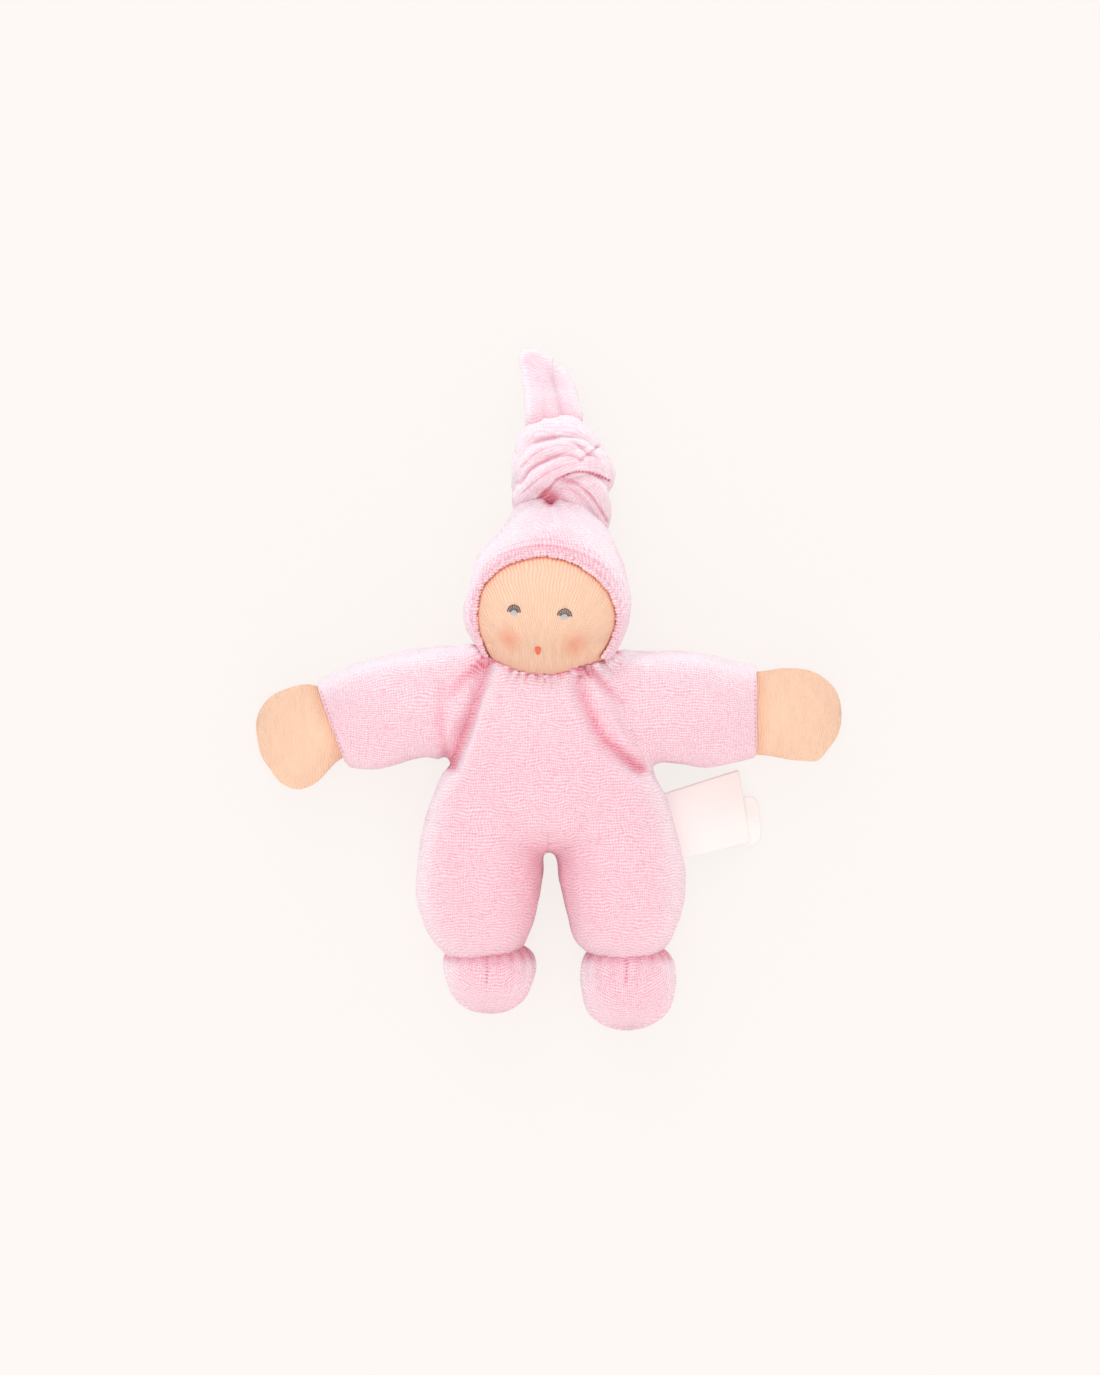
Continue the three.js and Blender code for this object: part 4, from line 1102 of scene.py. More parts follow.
@dataclass(frozen=True)
class StitchRow:
    """A row of short stitches on a piece, seen from above, in mm.

    Attributes:
        line: Places (x, y) that it passes.
        spacing: How far apart the stitches are.
        length: How long each stitch is, across the row.
        thick: How thick the thread is.
        sunk: How far its ends go down into the cloth.
    """

    line: Sequence[tuple[float, float]]
    spacing: float
    length: float
    thick: float = 0.42
    sunk: float = 0.2

    def piece(self, name: str, under: Skin) -> Piece:
        """Lay the stitches on a skin.

        Args:
            name: The row's piece name.
            under: The skin that they are sewn through.

        Returns:
            The row as one piece.
        """
        tree = BVHTree.FromPolygons(under.points.tolist(), under.faces)
        drawn = curve_through(self.line, False, 12)
        places = evenly(drawn, max(3, int(passed_along(drawn)[-1] / self.spacing)))
        stitches = []
        for (x, y), (ax, ay) in zip(places, unit(np.gradient(places, axis=0))):
            line = []
            for k in (-0.5, 0.0, 0.5):
                above = (x - ay * k * self.length, y + ax * k * self.length, 200.0)
                hit, normal, _, _ = tree.ray_cast(above, (0, 0, -1))
                if hit is not None:
                    line.append(tuple(hit + normal * (-self.sunk if k else 0.5 * self.thick)))
            if len(line) == 3:
                far_below = np.array([x, y, -500.0])
                stitches.append(Band(line, self.thick, self.thick, 2).skin(far_below, 8, 8))
        return Piece(name, joined(stitches), Cloth.STITCH)


# Suit


@dataclass(frozen=True)
class LimbSide:
    """What differs between the doll's two sides, in mm.

    Attributes:
        side: Which side it is.
        sleeve: The rows of the stuffed sleeve.
        mitt: The rows of the hand.
        leg: The rows of the stuffed leg.
        foot: The rows of the foot.
        creases: The creases between trunk and arm, the main one first.
        shoulder: The line of the roll of cloth over the shoulder.
        cuff_slant: How the cuff is turned, in degrees.
    """

    side: Side
    sleeve: Rows
    mitt: Rows
    leg: Rows
    foot: Rows
    creases: tuple[Crease, ...]
    shoulder: tuple[Place, ...]
    cuff_slant: float

    @property
    def word(self) -> str:
        """The side's name in the names of pieces, bodies and joints."""
        return self.side.name.lower()

    @property
    def wrist(self) -> Points:
        """The middle of the wrist."""
        return joint(f"wrist_bend_{self.word}")[0]

    @property
    def ankle(self) -> Points:
        """The middle of the ankle."""
        return joint(f"ankle_bend_{self.word}")[0]

    @property
    def seam(self) -> Cut:
        """The upright plane of the seam between the trunk and the arm."""
        place, axis = joint(f"arm_swing_{self.word}")
        return Cut(tuple(place), (self.side.value * abs(axis[1]), abs(axis[0]), 0.0))

    @property
    def cuff(self) -> Cut:
        """The plane in which the sleeve ends."""
        turn = math.radians(self.cuff_slant)
        return Cut(tuple(self.wrist), (self.side.value * math.cos(turn), math.sin(turn), 0.0))

    @property
    def groin(self) -> Cut:
        """The slanted plane from the crotch to the hip."""
        return Cut((0.0, HIP_Y - 1.5, 0.0), (0.26 * self.side.value, -0.966, 0.0))

    def in_arm(self, points: Points) -> Values:
        """Say which points of the suit belong to the sleeve."""
        inside = (self.seam.beyond(points) > 0) & (points[:, 1] > ARMPIT_Y)
        return inside & (self.cuff.beyond(points) < 0)

    def past_cuff(self, points: Points) -> Values:
        """Say which points of the suit lie beyond the end of the sleeve."""
        return (self.cuff.beyond(points) > 0) & (points[:, 0] * self.side.value > PAST_ELBOW)

    def in_leg(self, points: Points) -> Values:
        """Say which points of the suit belong to the leg."""
        return (self.groin.beyond(points) > 0) & (points[:, 0] * self.side.value > 0)


RIGHT_LIMBS = LimbSide(
    side=Side.RIGHT,
    sleeve=(
        (-106, 15, 15, 14, 14), (-101, 3, 28, 2, 29), (-93, -1.5, 33, 0, 31.5), (-85.2, -1.4, 36.4, -0.5, 33),
        (-77, -3.7, 40.4, -0.5, 36.5), (-68.8, -3.5, 43, -0.5, 39.5), (-60.6, -1.6, 44.8, -0.5, 42),
        (-52.4, 0.6, 46, -0.5, 43.2), (-44.2, 1.2, 46.6, -0.5, 43.6), (-34, 0.6, 46.6, -0.5, 43.4),
        (-22, 5, 43.5, 2, 40), (-12, 22, 22, 22, 22),
    ),
    mitt=(
        (-119.9, 12.5, 12.5, 11, 11), (-117.9, 2.4, 21.4, 3, 19), (-113.8, -5, 26.7, 0.5, 23.5),
        (-108, -10.6, 29.4, -0.4, 26.4), (-102.6, -12.4, 30.6, -0.5, 27.6), (-97.4, -10.4, 31, -0.5, 28.4),
        (-92, -6.4, 29.6, 0, 29), (-86, -0.5, 29, 1, 29), (-79, 3, 27, 3, 26), (-74, 15, 15, 15, 15),
    ),
    leg=(
        (-83.6, -26, -26, 19, 19), (-80.8, -38.5, -15, 9, 32), (-77.6, -43, -11.2, 4, 36.5),
        (-73.7, -46.6, -8.6, 1.5, 41), (-67.5, -50.8, -5.8, -0.4, 44.5), (-60, -53.6, -3.9, -0.5, 46),
        (-51, -54, -3, -0.5, 46.5), (-41, -53, -2, -0.5, 46.5), (-30, -51.4, -1.4, -0.5, 47),
        (-18, -48.6, -3, -0.5, 47.5), (-6, -43, -8, 4, 46), (4, -25, -25, 24, 24),
    ),
    foot=(
        (-104.3, -24, -24, 12, 12), (-102.4, -33.4, -15, 3.5, 22), (-98.3, -38.2, -9.6, 0, 29),
        (-92, -41.2, -6.2, -0.5, 34.5), (-86, -42.6, -5.2, -0.5, 36), (-80, -42, -6.2, 0, 34),
        (-75, -37, -12, 4, 28), (-71.5, -24.5, -24.5, 17, 17),
    ),
    creases=(
        Crease(
            ((-25.6, 37), (-27, 31), (-30.4, 21.6), (-34.4, 11.8), (-39.2, -2)),
            depth=4.2, width=3.0, start=0.5, end=0.85, over=-0.3, crease_shade=0.95,
        ),
        Crease(
            ((-23.6, 43), (-26, 40.6), (-30, 37), (-34.8, 32.8), (-40, 27)),
            depth=2.6, width=2.8, end=0.3, crease_shade=0.95,
        ),
        Crease(
            ((-43.5, 31), (-44, 20), (-42.8, 8), (-41, 0)),
            depth=1.5, width=2.6, start=0.5, over=0.3, crease_shade=0.45,
        ),
    ),
    shoulder=((-38, 40, 26), (-31, 43, 29), (-26, 41.5, 33), (-20, 36, 38), (-14, 31, 40)),
    cuff_slant=-20.0,
)
LEFT_LIMBS = LimbSide(
    side=Side.LEFT,
    sleeve=(
        (12, 22, 22, 22, 22), (22, 5, 42.5, 2, 40), (34, 0, 45.4, -0.5, 43.4), (44, -0.5, 44.6, -0.5, 43.6),
        (54, -1.3, 44.6, -0.5, 43), (62.2, -2.4, 43.8, -0.5, 41.5), (72, -2.4, 42, -0.5, 38),
        (82.7, 0, 40, -0.5, 33.5), (91, 1, 38.6, 0, 31), (98, 6, 33, 2, 28), (103, 19, 19, 14, 14),
    ),
    mitt=(
        (70, 19, 19, 15, 15), (76, 5.5, 33, 3, 26), (83, 2.2, 36, 0.5, 29), (90.9, 1.6, 37, -0.4, 29),
        (99.1, -0.2, 37.8, -0.5, 28.4), (105.5, -0.4, 37.4, -0.5, 27.6), (110.6, -0.5, 36, -0.2, 26),
        (115.5, 4.6, 32, 0.8, 22.6), (119.3, 11.6, 26.6, 3.6, 18.5), (121, 19.5, 19.5, 10.5, 10.5),
    ),
    leg=(
        (-83.6, 32.6, 32.6, 19, 19), (-80.8, 21.5, 44, 9, 32), (-77.6, 16, 48, 4, 36.5),
        (-73.7, 11.2, 51, 1.5, 41), (-67.5, 8, 53.2, -0.4, 44.5), (-60, 6.4, 55, -0.5, 46),
        (-51, 5.3, 55.8, -0.5, 46.5), (-41, 3.7, 55, -0.5, 46.5), (-30, 1.6, 53, -0.5, 47),
        (-18, 3, 49, -0.5, 47.5), (-6, 8, 42.6, 4, 46), (4, 25, 25, 24, 24),
    ),
    foot=(
        (-111.2, 32.5, 32.5, 12, 12), (-109, 22.6, 43, 3.5, 21.5), (-103.6, 16.6, 49.4, 0, 29.5),
        (-97, 14.2, 51.8, -0.5, 34), (-89, 13.2, 52.6, -0.5, 36), (-81, 14.8, 50.4, 0, 34.5),
        (-75.5, 20.5, 44.5, 4, 28), (-72, 32.5, 32.5, 17, 17),
    ),
    creases=(
        Crease(
            ((12.4, 37), (12.6, 31), (16.2, 21.6), (21.6, 10.8), (28.4, 4), (37.6, -3.4)),
            depth=4.2, width=3.0, start=0.45, end=0.85, over=0.3, crease_shade=0.95,
        ),
        Crease(
            ((13.4, 38.8), (17, 36.2), (20.4, 33.4), (25, 28.2), (30, 24)),
            depth=2.2, width=2.6, end=0.3, crease_shade=0.95,
        ),
        Crease(((14.6, 40), (18, 42), (24, 43.6), (30, 44.4)), depth=1.4, width=1.6, end=0.4, crease_shade=0.85),
    ),
    shoulder=((38, 37.5, 26), (31, 41, 29), (25.5, 39.5, 33), (19.5, 35.5, 38), (14, 31, 40)),
    cuff_slant=0.0,
)
SIDES = (RIGHT_LIMBS, LEFT_LIMBS)
ARM_CREASES = tuple(crease for limbs in SIDES for crease in limbs.creases)
TRUNK_ROWS = (
    (-37.5, 0, 0, 24, 24), (-34.4, -29, 29, 8, 40), (-27, -44, 44, 1.5, 47), (-16.5, -46.6, 46.6, -0.5, 51.4),
    (-4.2, -42.8, 42.6, -0.5, 53.5), (10.9, -40, 40, -0.5, 53), (24.5, -36, 36, -0.5, 51.4),
    (36.5, -31, 31, 1.5, 48), (44.5, -26, 26, 7, 43), (48.5, 0, 0, 26, 26),
)


@dataclass
class Suit:
    """The one-piece terry suit: trunk, sleeves and legs, cut from one stuffed skin.

    Attributes:
        gathers: How many folds the neckline would have all the way round.
        gather_depth: How deep they are, in mm.
        gather_reach: How far they run down from the neckline, in mm.
        roll: How thick the rolls of cloth over the shoulders are, in mm.
        ridge: How high the cloth stands beside the main creases, in mm.
        sleeve_bend: Where beyond the arm's seam the cloth would start and end to bend, in mm; passed on but
            not used.
        leg_bend: The same beyond the groin; passed on but not used.
        stitch_inset: How far from the edge of the cuff its stitches are, in mm.
        stitch_spacing: How far apart they are, in mm.
        cuff_half: How far the row of stitches reaches from the middle of the cuff, in mm.
    """

    gathers: int = 46
    gather_depth: float = 0.55
    gather_reach: float = 5.0
    roll: float = 10.0
    ridge: float = 1.5
    sleeve_bend: tuple[float, float] = (1.0, 19.0)
    leg_bend: tuple[float, float] = (1.5, 22.0)
    stitch_inset: float = 0.9
    stitch_spacing: float = 1.7
    cuff_half: float = 13.0

    def _from_face(self, points: Points) -> Values:
        """Measure how far points are from the seat of the head in the neckline."""
        seat = HEAD_RADIUS - 0.12 + 2.1 * smoothstep(points[:, 1], 42, 46)
        return np.linalg.norm(points - HEAD, axis=1) - seat

    def _gathers(self, points: Points) -> Values:
        """Read the folds of the drawn-in neckline, below 0 in their valleys."""
        away = points - HEAD
        turn = np.arctan2(away[:, 0], -away[:, 1])
        uneven = turn + 0.05 * np.sin(7 * turn + 1.3) + 0.03 * np.sin(13 * turn)
        wave = np.sin(self.gathers * uneven) + 0.35 * np.sin(2.3 * self.gathers * uneven + 1)
        near = np.exp(-np.clip(self._from_face(points), 0, None) / self.gather_reach)
        return wave * near * smoothstep(points[:, 2], 6, 20) * smoothstep(-away[:, 1], 4, 14)

    def _relief(self, points: Points) -> Values:
        """Read how far the creases between trunk and arms, and the ridges beside them, move the cloth."""
        ridges = np.zeros(len(points))
        for limbs in SIDES:
            beside = np.abs(limbs.creases[0].measure(points)[0]) - 2 * limbs.creases[0].width
            ridges += self.ridge * bell(beside, 3.0) * smoothstep(points[:, 1], -8, 4)
        front = smoothstep(points[:, 2], 3, 14) * smoothstep(points[:, 1], -9, -3)
        creases = sum(crease.relief(points) for crease in ARM_CREASES)
        return front * creases + smoothstep(points[:, 2], 8, 20) * ridges

    def hollow(self, points: Points) -> Values:
        """Say how much shade is painted on each point of the suit: in the arm creases, in the neckline's
        gathers and where it meets the face, between the legs, and a little more towards the feet than the
        shoulders.
        """
        front = smoothstep(points[:, 2], 3, 12) * smoothstep(points[:, 1], -9, -3)
        creases = front * sum(crease.colour(points) for crease in ARM_CREASES)
        neck = 1.2 * np.clip(-self._gathers(points) - 0.25, 0, 1) + 0.85 * bell(self._from_face(points), 0.9)
        crotch = 0.5 * bell(points[:, 0] - 0.5, 13) * smoothstep(-points[:, 1], 24, 42)
        belly = 0.16 * smoothstep(-points[:, 1], -34, 4) - 0.08
        return creases + neck + crotch + belly

    def _body_knit(self, points: Points) -> Points:
        """Lay the knit round the trunk and, past the crotch, round each leg."""
        parted = smoothstep(-points[:, 1], 20, 52)
        middle = (np.sign(points[:, 0]) * HIP_X * parted, TRUNK_TOP / 2)
        return knitted_round(points, Axis.Y, middle, (43 - 17 * parted, 27 - 3 * parted))

    def _sleeve_knit(self, points: Points) -> Points:
        """Lay the knit round a sleeve."""
        return knitted_round(points, Axis.X, (20.0, 21.5), (22.0, 22.0))

    def _whole(self) -> Skin:
        """Stuff and sew the suit in one, from trunk, sleeves, legs and shoulders."""
        forms = [StuffedForm(Axis.Y, TRUNK_ROWS, 2.25)]
        forms += [StuffedForm(Axis.X, limbs.sleeve, 2.15) for limbs in SIDES]
        forms += [StuffedForm(Axis.Y, limbs.leg, 2.25) for limbs in SIDES]
        rolls = [Band(limbs.shoulder, self.roll, self.roll, 2).skin(HEAD, 40, 24) for limbs in SIDES]
        skin = melded([form.skin() for form in forms] + rolls, BODY_VOXEL, 14)
        skin.push(self._relief(skin.points))
        skin.push(0.45 * lumps(skin.points, 24, 3) + 0.22 * lumps(skin.points, 9, 8))
        skin.push(self.gather_depth * self._gathers(skin.points))
        for limbs in SIDES:
            short = np.clip(RIM_ROUNDING + limbs.cuff.beyond(skin.points), 0, RIM_ROUNDING)
            inward = RIM_ROUNDING - np.sqrt(RIM_ROUNDING**2 - short**2)
            skin.push(-np.where(skin.points[:, 0] * limbs.side.value > PAST_ELBOW, inward, 0))
        away = np.linalg.norm(skin.points - HEAD, axis=1)
        return skin.keep_out(HEAD, away - self._from_face(skin.points)).settle()

    def _cuff_stitches(self, limbs: LimbSide, sleeve: Skin) -> None:
        """Sew the short stitches that show along the edge of a cuff."""
        out = np.array(limbs.cuff.normal)
        along = np.array([-out[1], out[0], 0.0])
        middle = limbs.wrist - out * self.stitch_inset
        ends = [middle + along * far * self.cuff_half for far in (-1, 0, 1)]
        row = StitchRow([tuple(end[:2]) for end in ends], self.stitch_spacing, 1.0, 0.32)
        row.piece(f"cuff_{limbs.word}_stitches", sleeve).rides(f"arm_{limbs.word}")

    def build(self) -> None:
        """Cut the suit into its pieces along the planes of its joints."""
        whole = self._whole()
        armpit = Cut((0.0, ARMPIT_Y, 0.0), (0.0, 1.0, 0.0))
        between_legs = Cut((0.0, 0.0, 0.0), (1.0, 0.0, 0.0))
        cuts = [limbs.seam for limbs in SIDES] + [limbs.cuff for limbs in SIDES]
        cuts += [armpit, between_legs] + [limbs.groin for limbs in SIDES]

        def sewn(name: str, nodes: tuple[str, str], wanted: Field, knit: Field) -> Piece:
            """Cut out a piece, with its nodes, its filling and its knit."""
            cut_out = part_of(whole, cuts, wanted)
            return Piece(name, cut_out, Cloth.TERRY, nodes, self.hollow, knit, whole=whole).stuffed()

        def in_trunk(points: Points) -> Values:
            """Say which points belong to no limb."""
            limb = [side.in_arm(points) | side.past_cuff(points) | side.in_leg(points) for side in SIDES]
            return ~(limb[0] | limb[1])

        nodes = ("suit_trunk", "trunk_stuffing")
        sewn("suit_trunk_cloth", nodes, in_trunk, self._body_knit).rides("trunk")
        for limbs in SIDES:
            word = limbs.word
            nodes = (f"sleeve_{word}", f"arm_stuffing_{word}")
            sleeve = sewn(f"sleeve_{word}_cloth", nodes, limbs.in_arm, self._sleeve_knit)
            sleeve.bends("trunk", f"arm_{word}", *limbs.seam.reach(*self.sleeve_bend))
            nodes = (f"suit_leg_{word}", f"leg_stuffing_{word}")
            leg = sewn(f"leg_{word}_cloth", nodes, limbs.in_leg, self._body_knit)
            leg.bends("trunk", f"leg_{word}", *limbs.groin.reach(*self.leg_bend))
            self._cuff_stitches(limbs, sleeve.skin)


@dataclass
class Feet:
    """The tied-off feet under the ends of the legs, with their gathers and a short front seam.

    Attributes:
        pleats: How many gathers a foot has under the tie.
        pleat_depth: How deep they are, in mm.
        seam_length: How long the front seam is, in mm.
        length: How long a foot is, in mm.
        half_width: Half of how wide it is, in mm.
        bend: Where past the ankle, towards the toes, the cloth would start and end to bend, in mm; passed on
            but not used.
    """

    pleats: int = 21
    pleat_depth: float = 0.42
    seam_length: float = 10.0
    length: float = 30.0
    half_width: float = 19.0
    bend: tuple[float, float] = (-2.0, 6.0)

    def _knit(self, limbs: LimbSide, points: Points) -> Points:
        """Lay the knit round a foot and over its end, drawn up beside the seam."""
        across = points[:, 0] - limbs.ankle[0]
        half = points[:, 2].max() / 2
        centre = limbs.ankle[1] - self.length / 2
        laid = knitted_round(points, Axis.Y, (limbs.ankle[0], half), (self.half_width, half), centre)
        laid[:, 1] -= 0.03 * across**2 * smoothstep(points[:, 2], 8, 26)
        return laid

    def _pleat(self, limbs: LimbSide, points: Points) -> Values:
        """Read the gathers under the tie, below 0 in their valleys."""
        away = points - limbs.ankle
        turn = np.arctan2(away[:, 0], away[:, 2] + 4)
        near = 1 - smoothstep(np.linalg.norm(away, axis=1), 14, 30)
        return near * np.sin(self.pleats * turn + 0.6 * np.sin(3 * turn))

    def _painted_shading(self, limbs: LimbSide, points: Points) -> Values:
        """Say how much shade is painted on each point of a foot: a little all over, more towards the tie at
        the ankle and most in its gathers.
        """
        top = 0.55 * smoothstep(points[:, 1], limbs.ankle[1] - 6.5, limbs.ankle[1] - 1)
        return 0.12 + top * (0.7 + 0.5 * np.clip(-self._pleat(limbs, points), 0, 1))

    def build(self) -> None:
        """Make both feet."""
        for limbs in SIDES:
            word = limbs.word
            skin = melded([StuffedForm(Axis.Y, limbs.foot, 2.1).skin()], SMALL_VOXEL, 14)
            skin.push(self.pleat_depth * self._pleat(limbs, skin.points))
            skin.push(0.35 * lumps(skin.points, 15, 20 + limbs.side.value)).settle()
            nodes = (f"foot_{word}", f"foot_stuffing_{word}")
            looks = (partial(self._painted_shading, limbs), partial(self._knit, limbs))
            foot = Piece(f"foot_{word}_cloth", skin, Cloth.TERRY, nodes, *looks).stuffed()
            x, y = limbs.ankle[:2] - (0.4, 2.0)
            seam = StitchRow(((x, y), (x - 0.4, y - self.seam_length)), 1.25, 1.3)
            bend = [limbs.ankle - (0, far, 0) for far in self.bend]
            for piece in (foot, seam.piece(f"foot_{word}_seam_stitches", skin)):
                piece.bends(f"leg_{word}", f"foot_{word}", *bend)


@dataclass
class Hands:
    """The jersey mittens in the cuffs.

    Attributes:
        half_width: Half of how wide a hand is, in mm.
        middle: How far past the wrist its middle is, in mm.
        bend: Where past the wrist the cloth would start and end to bend, in mm; passed on but not used.
    """

    half_width: float = 20.0
    middle: float = 10.0
    bend: tuple[float, float] = (-2.0, 8.0)

    def _knit(self, limbs: LimbSide, points: Points) -> Points:
        """Lay the knit round a hand and over its end."""
        half = points[:, 2].max() / 2
        centre = limbs.wrist[0] + self.middle * limbs.side.value
        return knitted_round(points, Axis.X, (limbs.wrist[1], half), (self.half_width, half), centre)

    def _painted_shading(self, limbs: LimbSide, points: Points) -> Values:
        """Say how much shade is painted on each point of a hand: where it goes under the cuff, and a little
        towards its far end.
        """
        near = 1 - smoothstep(limbs.cuff.beyond(points), 0.5, 6)
        far = smoothstep(np.abs(points[:, 0] - limbs.wrist[0]), 22, 36)
        return 0.3 * near + 0.04 * far

    def build(self) -> None:
        """Make both hands."""
        for limbs in SIDES:
            word = limbs.word
            skin = melded([StuffedForm(Axis.X, limbs.mitt, 2.05).skin()], SMALL_VOXEL, 10)
            skin.push(0.3 * lumps(skin.points, 14, 30 + limbs.side.value)).settle()
            nodes = (f"mitt_{word}", f"mitt_stuffing_{word}")
            looks = (partial(self._painted_shading, limbs), partial(self._knit, limbs))
            mitt = Piece(f"mitt_{word}_cloth", skin, Cloth.HAND, nodes, *looks).stuffed()
            mitt.bends(f"arm_{word}", f"hand_{word}", *limbs.cuff.reach(*self.bend))


# Head


# The face looks a little to one side, by turns about the doll's length and about the way ahead
FACE_TURN = Matrix.Rotation(math.radians(-6.0), 3, "Y") @ Matrix.Rotation(math.radians(-4.5), 3, "Z")


def face_place(across: float, up: float) -> Points:
    """Find a place on the face.

    Args:
        across: How far it is towards the doll's left, in mm, when the face looks straight ahead.
        up: How far it is above the middle of the head.

    Returns:
        The way from the middle of the head to that place, with length one.
    """
    ahead = Vector((across, up, math.sqrt(HEAD_RADIUS**2 - across**2 - up**2)))
    return unit(np.array(FACE_TURN @ ahead))


def halfway(first: tuple[float, float], last: tuple[float, float], bulge: float = 1.0) -> tuple[float, float]:
    """Find the place between two places, moved out across the face by a share."""
    return (first[0] + last[0]) / 2 * bulge, (first[1] + last[1]) / 2


@dataclass
class Head:
    """The jersey-covered wool ball with its stitched face, and the neck that it is tied on by.

    Attributes:
        hem: The cap's hem, which rests on the face.
        ribs_meet: Where on the face the jersey's ribs run together, across and up, in mm.
        eyes: Where each eye is across the face, in mm.
        eye_low: How far above the middle of the head the lower edge of the eyes is, in mm.
        eye_strands: How many dark strands an eye's fan has.
        mouth_strands: How many strands the mouth has.
        cheeks: Where each cheek's blush is, across and up in mm, and its size as a share of the radius.
        cord_turns: How many turns the neck's cord has.
    """

    hem: Skin
    ribs_meet: tuple[float, float] = (-3.0, -26.0)
    eyes: tuple[tuple[str, float], ...] = (("right", -10.5), ("left", 10.0))
    eye_low: float = -3.9
    eye_strands: int = 9
    mouth_strands: int = 6
    cheeks: tuple[Place, ...] = ((-12.2, -14.2, 0.15525), (14.6, -14.4, 0.1725))
    cord_turns: int = 3

    def _weave(self, points: Points) -> Points:
        """Lay the jersey's ribs down the face and together at the chin."""
        x, y, z = (points - HEAD).T
        narrow = np.clip((y - self.ribs_meet[1]) / 36 + 0.06, 0.36, 2) ** 0.8
        return np.stack([(x - self.ribs_meet[0]) / narrow, y, z], axis=1)

    def _painted_shading(self, points: Points) -> Values:
        """Say how much shade is painted on each point of the face: close under the hem and round the face's
        edge.
        """
        x, y, _ = ((points - HEAD) / HEAD_RADIUS).T
        rim = smoothstep(np.hypot(x * 1.04 + 0.02, (y + 0.1) * 1.2), 0.72, 1.0)
        tree = BVHTree.FromPolygons(self.hem.points.tolist(), self.hem.faces)
        gap = np.full(len(points), 3.0)
        for i in np.flatnonzero(points[:, 2] > HEAD[2] - 6):
            gap[i] = tree.find_nearest(points[i], 3.0)[3] or 3.0
        return 0.2 * rim + 0.8 * bell(gap, 0.9)

    def _blush(self, points: Points) -> Values:
        """Say how rosy each point of the face is."""
        ways = (points - HEAD) / HEAD_RADIUS
        away = ((ways - face_place(across, up), size) for across, up, size in self.cheeks)
        return sum(0.72 * bell(np.linalg.norm(gap, axis=1), size) for gap, size in away)

    def _strand(self, places: Sequence[tuple[float, float]], wide: float, high: float) -> Skin:
        """Lay one strand of floss on the face, with its ends down in the jersey.

        Args:
            places: Places (across, up) on the face that it passes.
            wide: How wide it is, in mm.
            high: How far it stands out.

        Returns:
            The strand.
        """
        ways = unit(curve_through([face_place(*place) for place in places], False, 6))
        lift = HEAD_RADIUS - 0.1 + high * np.sin(math.pi * np.linspace(0, 1, len(ways))) ** 0.5
        made = Band(ways * lift[:, None], high * 1.4, wide, 2).skin(np.zeros(3), 12, 8)
        made.points = made.points + HEAD
        return made

    def _eye(self, word: str, centre: float) -> None:
        """Stitch one eye: a fan of dark strands under an arched lid, over a pale lower edge."""

        def on_arc(turn: float, reach: float, rise: float, height: float) -> tuple[float, float]:
            """Find a place on an arc round the middle of the eye."""
            return centre + reach * math.sin(turn), self.eye_low + rise + height * math.cos(turn)

        dark = []
        for turn in np.radians(np.linspace(-78, 78, self.eye_strands)):
            foot, tip = on_arc(turn, 1.3, 0.9, 0.5), on_arc(turn, 2.7, 0.6, 3.2)
            dark.append(self._strand((foot, halfway(foot, tip), tip), 0.36, 0.3))
        lid = [on_arc(turn, 3.0, 0.3, 3.5) for turn in np.radians((-88, -45, 0, 45, 88))]
        dark.append(self._strand(lid, 0.34, 0.34))
        light = []
        for up, reach in ((0.0, 1.3), (0.55, 1.7), (1.1, 1.6), (1.65, 1.3)):
            y = self.eye_low + up
            row = ((centre - reach, y), (centre, y - 0.1), (centre + reach, y))
            light.append(self._strand(row, 0.6, 0.2))
        Piece(f"eye_{word}_upper_stitches", joined(dark), Cloth.EYE_DARK, (f"eye_{word}",)).rides("head")
        Piece(f"eye_{word}_lower_stitches", joined(light), Cloth.EYE_LIGHT).rides("head")

    def _mouth(self) -> None:
        """Stitch the small mouth: strands that run together downwards."""
        strands = []
        for share in np.linspace(-1, 1, self.mouth_strands):
            start = (0.95 * share, -15.9 - 0.35 * share * share)
            end = (0.35 * share, -19.5 + 0.4 * abs(share))
            strands.append(self._strand((start, halfway(start, end, 1.15), end), 0.75, 0.34))
        Piece("mouth_stitches", joined(strands), Cloth.MOUTH, ("mouth",)).rides("head")

    def _neck(self) -> None:
        """Make the wool stalk and the cord wound round it."""
        low, high = box_of("neck_stub")
        radius = float(high[0] - low[0]) / 2
        profile = [(low[1], 0.0), (low[1] + 1.2, radius - 1.4), (low[1] + 4, radius)]
        profile += [(high[1] - 2.5, radius), (high[1] - 0.6, radius - 2), (high[1] - 0.2, 0.0)]
        stub = round_form(profile).skin(24, 36)
        stub.push(0.2 * lumps(stub.points, 5, 40))
        Piece("neck_stub_wool", stub, Cloth.WOOL, ("neck_stub",)).stuffed().rides("neck")
        low, high = box_of("neck_cord")
        thick = float(high[1] - low[1]) / 4
        turns = np.linspace(0, self.cord_turns * FULL_TURN, 24 * self.cord_turns)
        reach = radius + thick * 0.5
        rise = low[1] + thick * 0.5 + (high[1] - low[1] - thick) * turns / turns[-1]
        line = np.stack([reach * np.cos(turns), rise, HEAD[2] + reach * np.sin(turns)], axis=1)
        cord = Band(line, thick, thick, 3).skin(np.array([0.0, 0.0, HEAD[2]]), 160, 12)
        Piece("neck_cord_turns", cord, Cloth.CORD, ("neck_cord",)).rides("neck")

